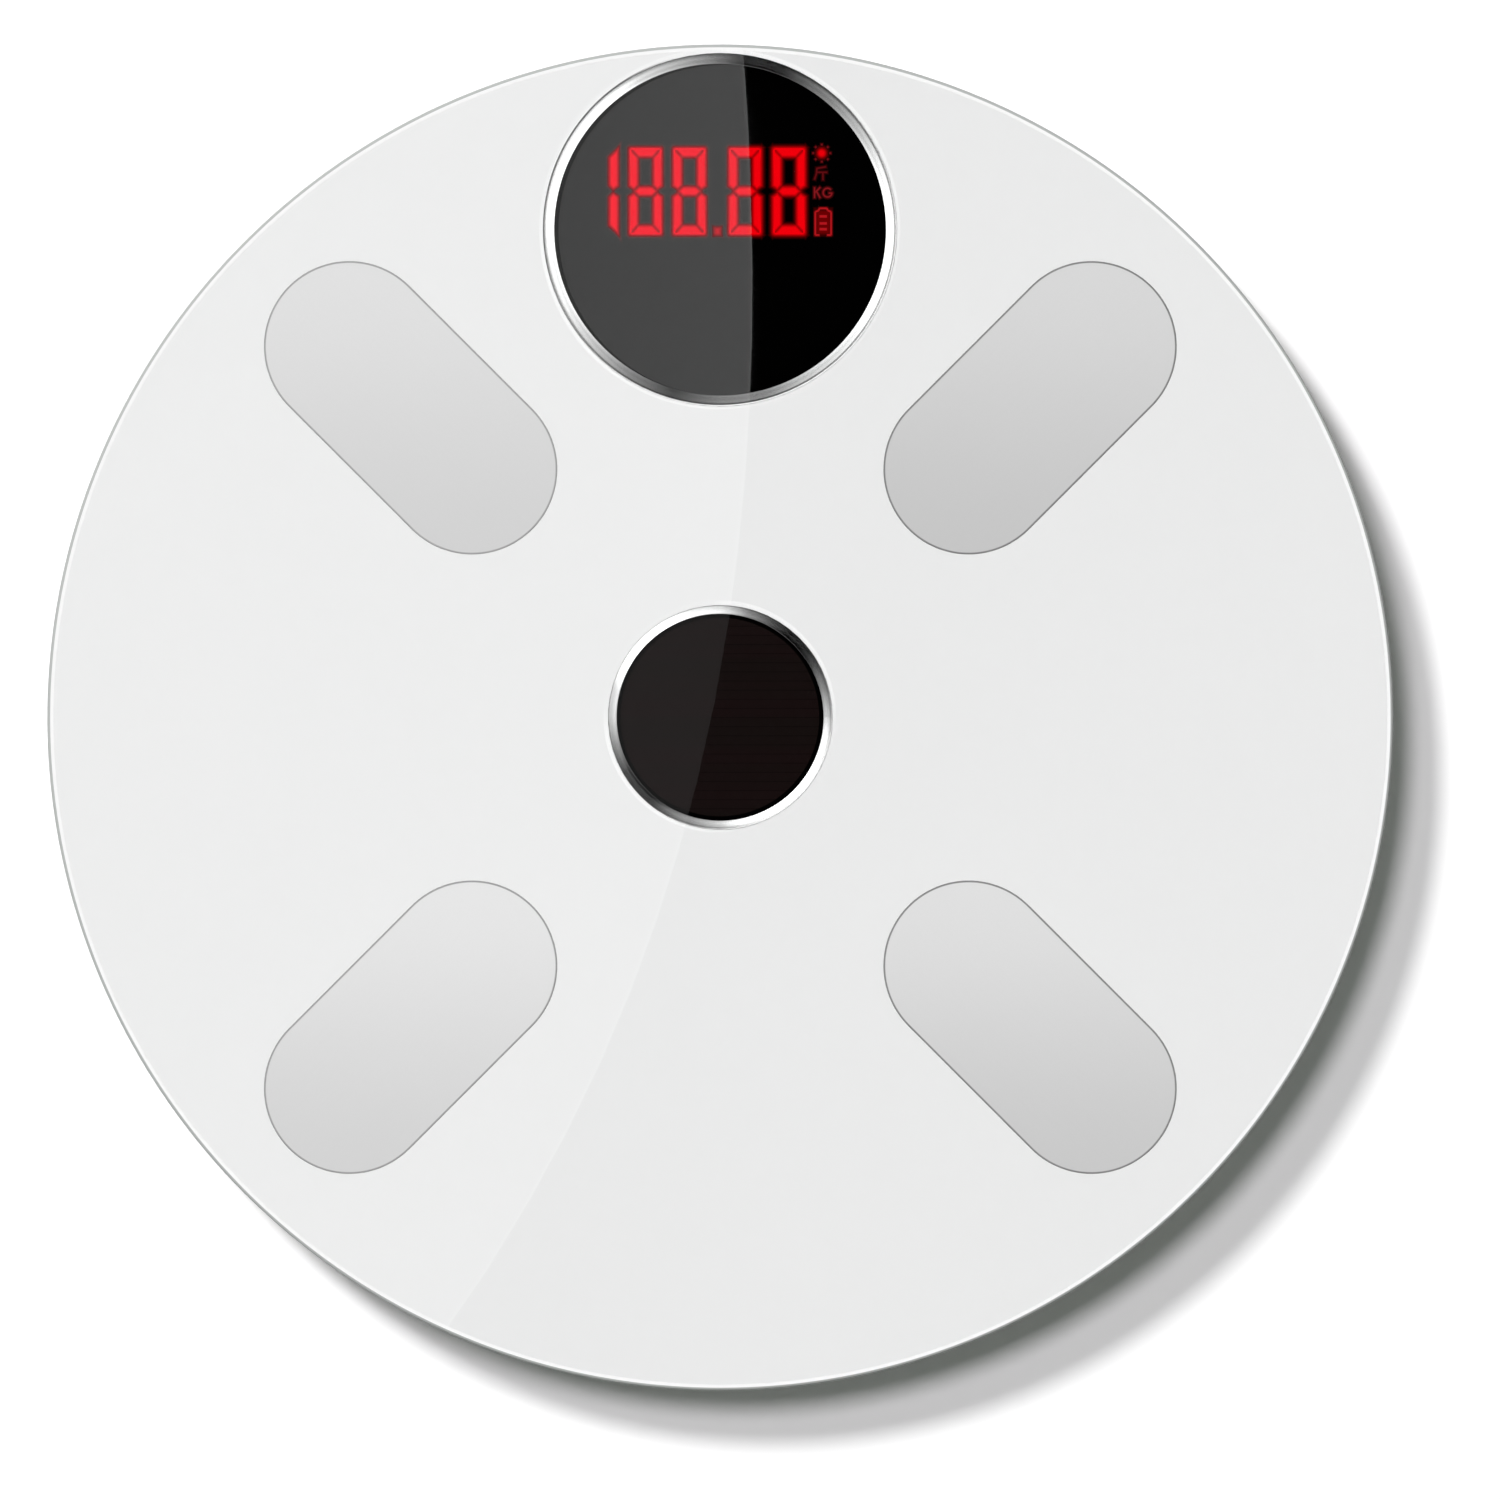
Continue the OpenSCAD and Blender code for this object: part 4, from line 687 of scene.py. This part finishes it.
def flat_faces(bm, loops, holes):
    """The bottom and the top of the glass, with the holes left open."""
    flats = []
    for side, outer in ((0, loops[0]), (1, loops[-1])):
        rings = [outer] + [pair[side] for pair in holes]
        edges = [bm.edges.get((a, b)) for ring in rings for a, b in zip(ring, ring[1:] + ring[:1])]
        way = (0, 0, 2 * side - 1)
        made = bmesh.ops.triangle_fill(bm, use_beauty=True, edges=edges, normal=way)
        flats += [item for item in made["geom"] if isinstance(item, bmesh.types.BMFace)]
    bm.normal_update()
    for face in flats:
        if (face.normal.z > 0) != (face.calc_center_median().z > GLASS_BOX[0].z + EDGE_ROUND):
            face.normal_flip()
    bm.normal_update()


def glass_piece():
    bm = bmesh.new()
    facing = {}
    loops = rim_loops(bm, facing)
    flat_faces(bm, loops, stud_holes(bm))
    normals = []
    for face in bm.faces:
        face.smooth = True
        rim = face.material_index == 1
        normals += [tuple(facing[loop.vert] if rim else face.normal) for loop in face.loops]
    obj = new_object(bm, "glass_disc", FINISHES["clear_glass"], ground_edge("ground_edge"))
    obj.data.normals_split_custom_set(normals)
    return obj


glass_disc = glass_piece()
glass_disc.visible_shadow = False
glass_disc.visible_diffuse = False
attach(glass_disc, BODY)
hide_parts("glass_platform")


# ---------- lit figures, in millimetres about the middle of the digits ----------

# Where lit plates lie on the window, how thick a dark one is, how much thicker the brightest
# one is, and where the middle of the row of digits lies
LIT_LOW = LENS_BOX[1].z + ON_WINDOW
LIT_SEAT = 0.004 * MM
LIT_RISE = 0.02 * MM
DIGITS_Y = 109.525

# The bars of a digit
DIGIT_W = 7.31
DIGIT_H = 18.68
SIDE_W = 2.27
BAR_H = 2.43
MIDDLE_H = 2.25
MITRE_LAP = 0.2
CORNER_R = 1.0
CORNER_STEPS = 3
WAIST_GAP = 0.12
TIP_IN = 1.28
WAIST_OUTER = 1.05
WAIST_INNER = 1.2
MIDDLE_REACH = 2.62

# The digits' places in the row
DIGIT_PLACES = (-15.56, -6.42, 5.15, 14.28)
ONE_PLACE = -24.72

# How light fades across an edge: how far outside it, and how bright it is there.
# Further out than HALO_FROM, a plate looks like the window with a faint glow in it.
FADE = ((0.7, 0.0), (0.4, 0.03), (0.19, 0.085), (0.0, 0.21), (-0.25, 0.48), (-0.65, 1.0))
THIN_FADE = ((0.3, 0.0), (0.1, 0.15), (-0.1, 1.0))
SUN_FADE = ((0.9, 0.0), (0.45, 0.06), (0.1, 0.2), (-0.15, 0.55), (-0.5, 1.0))
LETTER_FADE = ((0.42, 0.0), (0.12, 0.25), (-0.06, 1.0))
BACKING_FADE = ((0.7, 0.0), (0.2, 0.3), (-0.4, 1.0))
HALO_FROM = 0.19

# How bright each lit piece is
DIGIT_LIGHT = 0.96
POINT_LIGHT = 0.58
SUN_LIGHT = 0.88
RAY_LIGHT = 0.17
LETTER_LIGHT = 0.26
JIN_LIGHT = 0.12
CELL_LIGHT = 0.48
BACKING_LIGHT = 0.15

DIM_RED = (1.0, 0.04, 0.055)
CELL_RED = (1.0, 0.018, 0.026)
BACKING_RED = (1.0, 0.0, 0.002)


def arc(centre, radius, start, end, steps):
    """Points on a round corner, both ends included. Angles in degrees."""
    points = []
    for i in range(steps + 1):
        a = math.radians(start + (end - start) * i / steps)
        points.append((centre[0] + radius * math.cos(a), centre[1] + radius * math.sin(a)))
    return points


def flipped(points, x=1, y=1):
    return [(p[0] * x, p[1] * y) for p in points]


def moved(points, dx, dy):
    return [(p[0] + dx, p[1] + dy) for p in points]


def end_bar():
    """Level bar at the top of a digit, mitred, with its outer corners rounded."""
    x = DIGIT_W / 2
    y = DIGIT_H / 2
    r = CORNER_R
    left = moved(arc((-x + r, y - r), r, 135, 90, CORNER_STEPS), -MITRE_LAP, 0)
    right = moved(arc((x - r, y - r), r, 90, 45, CORNER_STEPS), MITRE_LAP, 0)
    reach = x - SIDE_W + MITRE_LAP
    return left + right + [(reach, y - BAR_H), (-reach, y - BAR_H)]


def side_bar(rounded=True):
    """Upright bar at the upper right of a digit, pointed at the waist."""
    x = DIGIT_W / 2
    y = DIGIT_H / 2
    r = CORNER_R
    inner = x - SIDE_W
    top = [(x, y)]
    if rounded:
        top = moved(arc((x - r, y - r), r, 45, 0, CORNER_STEPS), 0, MITRE_LAP)
    waist = [(x, WAIST_OUTER), (x - TIP_IN, WAIST_GAP), (inner, WAIST_INNER)]
    return [(inner, y - BAR_H + MITRE_LAP)] + top + waist


def middle_bar():
    half = MIDDLE_H / 2
    shoulder = MIDDLE_REACH - half
    right = [(shoulder, -half), (MIDDLE_REACH, 0), (shoulder, half)]
    return right + flipped(right, -1, -1)


def wound(points):
    """The same outline, counter-clockwise."""
    area = sum(a[0] * b[1] - b[0] * a[1] for a, b in zip(points, points[1:] + points[:1]))
    return points if area > 0 else points[::-1]


def shrunk(points, by):
    """A counter-clockwise outline with each side moved inwards, or outwards if by is below 0."""
    made = []
    count = len(points)
    for i in range(count):
        before = Vector(points[i]) - Vector(points[i - 1])
        after = Vector(points[(i + 1) % count]) - Vector(points[i])
        before.normalize()
        after.normalize()
        n1 = Vector((-before.y, before.x))
        n2 = Vector((-after.y, after.x))
        share = by / max(0.3, 1 + n1.dot(n2))
        made.append((points[i][0] + (n1.x + n2.x) * share, points[i][1] + (n1.y + n2.y) * share))
    return made


def lit_piece(name, shapes, strength, colour=PURE_RED, left_colour=None):
    """Thin lit plates.

    Each shape is an outline, its brightness and its fade, from outside inwards. A plate is a
    little higher where it is brighter, so the brighter one shows where two meet.
    """
    bm = bmesh.new()
    glow = bm.verts.layers.float.new("glow")

    def loop(points, height, level):
        made = []
        for x, y in points:
            vert = bm.verts.new((x * MM, (DIGITS_Y + y) * MM, height))
            vert[glow] = level
            made.append(vert)
        return made

    for outline, brightness, fade in shapes:
        outline = wound(outline)
        widest = fade[0][0]
        lower = loop(shrunk(outline, -widest), LIT_LOW, 0)
        bm.faces.new(lower[::-1])
        for last, (across, level) in zip([widest] + [stage[0] for stage in fade], fade):
            level *= brightness
            upper = loop(shrunk(outline, -across), LIT_LOW + LIT_SEAT + LIT_RISE * level, level)
            bridge(bm, lower, upper, int(last > HALO_FROM))
            lower = upper
        bm.faces.new(lower)
    light = red_light(name + "_light", strength, colour, left_colour)
    halo = red_light(name + "_halo", strength, colour, left_colour, in_window=True)
    obj = new_object(bm, name, light, halo)
    obj.data.normals_split_custom_set([(0, 0, 1)] * len(obj.data.loops))
    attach(obj, BODY)
    return obj


def box_outline(x, y, w, h):
    left = x - w / 2
    right = x + w / 2
    return [(left, y - h / 2), (right, y - h / 2), (right, y + h / 2), (left, y + h / 2)]


def stroke_outline(a, b, width):
    """A straight stroke from a to b."""
    direction = Vector((b[0] - a[0], b[1] - a[1])).normalized()
    side = Vector((-direction.y, direction.x)) * width / 2
    return [
        (a[0] + side.x, a[1] + side.y), (a[0] - side.x, a[1] - side.y),
        (b[0] - side.x, b[1] - side.y), (b[0] + side.x, b[1] + side.y),
    ]


def strokes(path, width):
    return [stroke_outline(a, b, width) for a, b in zip(path, path[1:])]


def soft(outlines, level, fade):
    return [(points, level, fade) for points in outlines]


# The lit figure: a one, four eights and the point
POINT = box_outline(-0.6, -8.33, 1.85, 2.05)
digit = [end_bar(), flipped(end_bar(), y=-1), middle_bar()]
digit += [flipped(side_bar(), x, y) for x in (1, -1) for y in (1, -1)]
bars = [moved(points, x, 0) for x in DIGIT_PLACES for points in digit]
bars += [moved(flipped(side_bar(rounded=False), 1, y), ONE_PLACE, 0) for y in (1, -1)]
shapes = soft(bars, 1.0, FADE) + soft([POINT], POINT_LIGHT, FADE)
digits = lit_piece("lit_digits", shapes, DIGIT_LIGHT, PURE_RED, CRIMSON)
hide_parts("display_segments")

# The sun
SUN_PLACE = (21.1, 7.94)
SUN_R = 0.95
SUN_STEPS = 24
RAY_AT = 1.77
RAY_L = 0.38
RAY_COUNT = 8
core = arc(SUN_PLACE, SUN_R, 0, 360 - 360 / SUN_STEPS, SUN_STEPS - 1)
rays = []
for i in range(RAY_COUNT):
    a = FULL_TURN * i / RAY_COUNT
    ends = [
        (SUN_PLACE[0] + r * math.cos(a), SUN_PLACE[1] + r * math.sin(a))
        for r in (RAY_AT - RAY_L / 2, RAY_AT + RAY_L / 2)
    ]
    rays.append(stroke_outline(*ends, RAY_L))
lit_piece("sun_core", soft([core], 1.0, SUN_FADE), SUN_LIGHT)
lit_piece("sun_rays", soft(rays, 1.0, THIN_FADE), RAY_LIGHT, DIM_RED)

# The letters of the kilogram sign
UNIT_W = 0.2
LETTER_Y = -0.28
LETTER_H = 2.15
K_LEFT = 19.6
K_RIGHT = 20.75
K_LEG = (K_LEFT + 0.45, LETTER_Y + 0.2)
G_PLACE = (22.3, LETTER_Y)
G_R = 0.92
G_STEPS = 14
G_BAR_Y = LETTER_Y - 0.1
G_BAR_IN = 0.3
top_y = LETTER_Y + LETTER_H / 2
low_y = LETTER_Y - LETTER_H / 2
g_bar = [(G_PLACE[0] + G_R, G_BAR_Y), (G_PLACE[0] + G_BAR_IN, G_BAR_Y)]
LETTERS = (
    [(K_LEFT, top_y), (K_LEFT, low_y)],
    [(K_RIGHT, top_y), (K_LEFT + UNIT_W / 2, LETTER_Y)],
    [K_LEG, (K_RIGHT, low_y)],
    arc(G_PLACE, G_R, 45, 350, G_STEPS) + g_bar,
)
letters = [outline for path in LETTERS for outline in strokes(path, UNIT_W)]
lit_piece("kilogram_sign", soft(letters, 1.0, LETTER_FADE), LETTER_LIGHT, DIM_RED)

# The sign of the other weight unit, the jin
JIN_W = 0.24
JIN = (
    [(21.95, 5.1), (20.05, 4.75)],
    [(20.1, 4.8), (20.0, 3.7), (19.6, 2.45)],
    [(20.1, 3.95), (22.2, 3.95)],
    [(21.35, 3.9), (21.35, 2.35)],
)
jin = [outline for path in JIN for outline in strokes(path, JIN_W)]
lit_piece("weight_unit_sign", soft(jin, 1.0, LETTER_FADE), JIN_LIGHT, DIM_RED)

# The battery sign: its outline, open below, three bars in it and the glow behind them
CELL_X = 21.4
CELL_HALF = 1.64
CELL_LOW = -9.1
CELL_TOP = -4.1
CELL_FOOT = 0.85
CELL_LINE = 0.36
SHOULDER_DROP = 0.2
CAP_HALF = 0.95
CAP_LOW = 0.1
CAP_RISE = 0.55
CAP_SLANT = 0.2
CELL_BAR_W = 1.55
CELL_BAR_H = 0.55
CELL_BAR_YS = (-5.23, -6.69, -7.89)
BACKING_UP = 0.2
BACKING_IN = 0.15
half_shell = [
    (CELL_HALF - CELL_FOOT, CELL_LOW), (CELL_HALF, CELL_LOW), (CELL_HALF, CELL_TOP - SHOULDER_DROP),
    (CAP_HALF, CELL_TOP + CAP_LOW), (CAP_HALF - CAP_SLANT, CELL_TOP + CAP_RISE),
]
shell = moved(flipped(half_shell, x=-1) + half_shell[::-1], CELL_X, 0)
battery = strokes(shell, CELL_LINE)
battery += [box_outline(CELL_X, y, CELL_BAR_W, CELL_BAR_H) for y in CELL_BAR_YS]
lit_piece("battery_sign", soft(battery, 1.0, THIN_FADE), CELL_LIGHT, CELL_RED)
backing_y = (CELL_LOW + CELL_TOP) / 2 + BACKING_UP
backing = box_outline(CELL_X, backing_y, 2 * (CELL_HALF - BACKING_IN), CELL_TOP - CELL_LOW)
lit_piece("battery_backing", soft([backing], BACKING_LIGHT, BACKING_FADE), 1.0, BACKING_RED)


# ---------- painted shadow: black bands at the edges of the two windows ---

EDGE_STEPS = 144
EDGE_RISE = 0.02 * MM
EDGE_LEAST = 0.02 * MM
BORE_CLEAR = 0.02 * MM


def painted_shadow_band(name, box, bore, width, swing, lean):
    """Thin black band inside a ring's bore: painted shadow.

    Its width changes by swing round the window, and it is widest at lean degrees.
    """
    low = box[1].z + ON_WINDOW
    centre = middle_of(box)
    outer = bore - BORE_CLEAR
    bm = bmesh.new()
    corners = [[], [], [], []]
    for i in range(EDGE_STEPS):
        a = FULL_TURN * i / EDGE_STEPS
        inner = outer - max(EDGE_LEAST, width + swing * math.cos(a - math.radians(lean)))
        section = ((inner, low), (outer, low), (outer, low + EDGE_RISE), (inner, low + EDGE_RISE))
        for corner, (r, z) in zip(corners, section):
            corner.append(bm.verts.new((centre.x + r * math.cos(a), centre.y + r * math.sin(a), z)))
    for first, second in zip(corners, corners[1:] + corners[:1]):
        bridge(bm, first, second)
    bmesh.ops.recalc_face_normals(bm, faces=bm.faces)
    obj = new_object(bm, name, painted_shadow_black(name + "_black"))
    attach(obj, BODY)


painted_shadow_band("display_shadow_band", LENS_BOX, DISPLAY_RING_IN, 0.0, 0.8 * MM, 170)
painted_shadow_band("solar_shadow_band", SOLAR_BOX, SOLAR_RING_IN, 0.8 * MM, 0.14 * MM, -45)


# ---------- floor, world and lamps ----------

FLOOR_REACH = 6.0
FLOOR_CAMERA = 1.09
FLOOR_BOUNCE = 0.5
AMBIENT = 0.12
AMBIENT_TINT = (0.96, 1.07, 0.95)


def sheet_object(name, outline, height, material):
    """A flat sheet that isn't part of the object."""
    bm = bmesh.new()
    bm.faces.new([bm.verts.new((x, y, height)) for x, y in outline])
    obj = new_object(bm, name, material)
    return obj


def floor_paint(name):
    """White to the camera, and duller for the light that it sends back to the object."""
    t = Tree(name)
    seen = t.add("LightPath").outputs["Is Camera Ray"]
    tone = t.mix(seen, grey(FLOOR_BOUNCE), grey(FLOOR_CAMERA))
    return t.surface(t.add("BsdfDiffuse", {"Color": tone}).outputs[0])


def studio(name):
    """White to the camera and in mirror and glass rays, and a dim light for everything else."""
    t = Tree(name, world=True)
    rays = t.add("LightPath").outputs
    plain = t.math("MAXIMUM", rays["Is Camera Ray"], rays["Is Glossy Ray"])
    plain = t.math("MAXIMUM", plain, rays["Is Transmission Ray"])
    tint = t.mix(plain, tuple(AMBIENT * c for c in AMBIENT_TINT), grey(1.0))
    return t.surface(t.add("Background", {"Color": tint, "Strength": 1.0}).outputs[0])


sheet_object("floor", box_outline(0, 0, 2 * FLOOR_REACH, 2 * FLOOR_REACH), 0, floor_paint("floor"))
scene.world = studio("studio")

# Each lamp's height and spread in degrees, its share of the light and its colour
LAMP_AZIMUTH = 132
LAMPS = {
    "low_lamp": {"elevation": 48.5, "spread": 11.5, "share": 0.52, "colour": (1.0, 1.0, 1.0)},
    "high_lamp": {"elevation": 70.5, "spread": 15, "share": 0.37, "colour": (1.013, 0.976, 1.017)},
}


def lamp(name, elevation, spread, share, colour):
    """A distant lamp. share is the brightness it alone gives a level white surface."""
    data = bpy.data.lights.new(name, "SUN")
    data.energy = share * math.pi / math.sin(math.radians(elevation))
    data.angle = math.radians(spread)
    data.color = colour
    obj = bpy.data.objects.new(name, data)
    scene.collection.objects.link(obj)
    a = math.radians(LAMP_AZIMUTH)
    e = math.radians(elevation)
    towards = Vector((math.cos(a) * math.cos(e), math.sin(a) * math.cos(e), math.sin(e)))
    obj.rotation_mode = "QUATERNION"
    obj.rotation_quaternion = towards.to_track_quat("Z", "Y")
    obj.visible_glossy = False
    obj.visible_transmission = False


for name, settings in LAMPS.items():
    lamp(name, **settings)


# ---------- camera: straight above, a little off the middle, far away ----------

# The picture's size and the middle of the disc in it, in pixels, and the real size of a pixel
IMAGE_W = 1500
IMAGE_H = 1499
DISC_X = 720.35
DISC_Y = 717.5
PIXEL = 0.208 * MM
CAMERA_D = 8.0
CLIP_END = 50
SENSOR = 36.0
camera_x = (IMAGE_W / 2 - DISC_X) * PIXEL
camera_y = -(IMAGE_H / 2 - DISC_Y) * PIXEL
glass_top = GLASS_BOX[1].z
optics = bpy.data.cameras.new("camera")
optics.sensor_width = SENSOR
optics.lens = SENSOR * CAMERA_D / (IMAGE_W * PIXEL)
optics.clip_end = CLIP_END
camera = bpy.data.objects.new("camera", optics)
scene.collection.objects.link(camera)
camera.location = (camera_x, camera_y, glass_top + CAMERA_D)
scene.camera = camera


# ---------- cards that only reflections see ----------

# The glass mirrors a grey card at the left, whose curved edge shows, and a black one at the right.
# The edge is in pixels of the picture, and so is where the grey starts and ends its change.
CARD_EDGE = [
    (707, -260), (729.9, -90), (743.6, 55), (748.4, 130), (751.2, 200), (752.4, 270), (751.9, 340),
    (749.4, 410), (744.8, 480), (738, 550), (728.8, 620), (715, 700), (697.4, 780), (678.8, 850),
    (656.7, 920), (631.1, 990), (601.6, 1060), (567.9, 1130), (529.8, 1200), (487, 1270),
    (439.1, 1340), (377.8, 1420), (252, 1560), (52, 1740),
]
CARD_H = 4.0
CARD_REACH = 300 * MM
CARD_GREY = 0.40
CARD_GREY_NEAR = 0.455
GREY_FROM = 560
GREY_TO = 750
EDGE_LINE_GREY = 0.58
EDGE_LINE_W = 3
LINE_BELOW = 1 * MM

# A darker spot on the grey card, which the solar window mirrors, also in pixels
SPOT_X = 719.6
SPOT_Y = 716.6
SPOT_R = 106
SPOT_GREY = 0.15
SPOT_STEPS = 48
SPOT_BELOW = 2 * MM

# The height of the cards, and how much wider the camera's view is there than on the glass
card_z = glass_top + CARD_H
stretch = (CAMERA_D + CARD_H) / CAMERA_D


def only_reflected(obj):
    obj.visible_camera = False
    obj.visible_diffuse = False
    obj.visible_shadow = False


def card(name, outline, below, material):
    """A card overhead. below is how far it lies below the two large ones."""
    only_reflected(sheet_object(name, outline, card_z - below, material))


def mirrored(x, y):
    """Where a ray from the camera meets the cards, once the glass has mirrored it at this pixel."""
    across = (x - DISC_X) * PIXEL
    up = (DISC_Y - y) * PIXEL
    return (camera_x + (across - camera_x) * stretch, camera_y + (up - camera_y) * stretch)


def edge_at(y):
    """Where the curved edge of the card lies at this height in the picture."""
    for a, b in zip(CARD_EDGE, CARD_EDGE[1:]):
        if a[1] <= y <= b[1]:
            return a[0] + (b[0] - a[0]) * (y - a[1]) / (b[1] - a[1])
    return CARD_EDGE[-1][0]


def plain_glow(name, level):
    return Tree(name).shine((*grey(level), 1))


def drifting_glow(name, low_x, low, high_x, high):
    """A glow whose grey changes evenly from low_x to high_x."""
    t = Tree(name)
    return t.shine((1, 1, 1, 1), t.remap(t.parts(t.place())[0], low_x, high_x, low, high))


edge = [mirrored(x, y) for x, y in CARD_EDGE]
line = [mirrored(x - EDGE_LINE_W, y) for x, y in CARD_EDGE]
reach = CARD_REACH * stretch
top = edge[0][1]
bottom = edge[-1][1]
drift = (mirrored(GREY_FROM, 0)[0], CARD_GREY, mirrored(GREY_TO, 0)[0], CARD_GREY_NEAR)
card("left_card", [(-reach, top), (-reach, bottom)] + edge[::-1], 0, drifting_glow("card_grey", *drift))
card("right_card", edge + [(reach, bottom), (reach, top)], 0, plain_glow("card_black", 0.0))
card("edge_line", line + edge[::-1], LINE_BELOW, plain_glow("card_line", EDGE_LINE_GREY))

spot_left = []
spot_right = []
for i in range(SPOT_STEPS + 1):
    y = SPOT_Y - SPOT_R * math.cos(math.pi * i / SPOT_STEPS)
    half = SPOT_R * math.sin(math.pi * i / SPOT_STEPS)
    rightmost = min(SPOT_X + half, edge_at(y))
    if rightmost > SPOT_X - half:
        spot_left.append((SPOT_X - half, y))
        spot_right.append((rightmost, y))
spot = [mirrored(x, y) for x, y in spot_left + spot_right[::-1]]
card("dark_spot", spot, SPOT_BELOW, plain_glow("card_dark", SPOT_GREY))

# Two wide rings overhead, which the sloping faces of the polished rings mirror. Each pair is a
# direction in degrees and the level there, as a picture's level where 255 is white.
SURROUND_R = (1.5, 2.45, 3.4)
SURROUND_STEPS = 96
SURROUND_GAIN = 1.38
DISPLAY_SURROUND = (
    (-180, 300), (-165, 262), (-150, 202), (-135, 138), (-120, 74), (-113, 0), (-97, 0), (-90, 96),
    (-75, 170), (-60, 222), (-45, 305), (0, 300), (15, 266), (30, 252), (45, 196), (60, 122),
    (75, 10), (90, 110), (105, 124), (120, 202), (135, 247), (150, 300), (180, 300),
)
SOLAR_SURROUND = (
    (-180, 200), (-165, 132), (-150, 56), (-141, 0), (-129, 0), (-120, 60), (-105, 136), (-90, 240),
    (-75, 268), (-60, 345), (-30, 345), (-15, 232), (0, 212), (15, 136), (30, 34), (39, 0), (51, 0),
    (60, 92), (75, 150), (90, 205), (105, 300), (120, 345), (150, 345), (165, 300), (180, 200),
)


def linear(level):
    """The strength of light that a picture shows as this level."""
    c = level / 255.0
    return c / 12.92 if c <= 0.04045 else ((c + 0.055) / 1.055) ** 2.4


def surround(name, inner, outer, tones):
    """A flat ring whose brightness changes with its direction from the middle."""
    t = Tree(name)
    turn = t.add("TexGradient", {"Vector": t.place()}, gradient_type="RADIAL").outputs["Fac"]
    levels = [((angle + 180) / 360, SURROUND_GAIN * linear(level)) for angle, level in tones]
    paint = t.shine(t.curve(turn, levels))
    bm = bmesh.new()
    loops = [circle(bm, 0, 0, radius, card_z, SURROUND_STEPS) for radius in (inner, outer)]
    bridge(bm, *loops)
    obj = new_object(bm, name, paint)
    only_reflected(obj)


surround("display_surround", *SURROUND_R[:2], DISPLAY_SURROUND)
surround("solar_surround", *SURROUND_R[1:], SOLAR_SURROUND)

scene.view_settings.view_transform = "Standard"
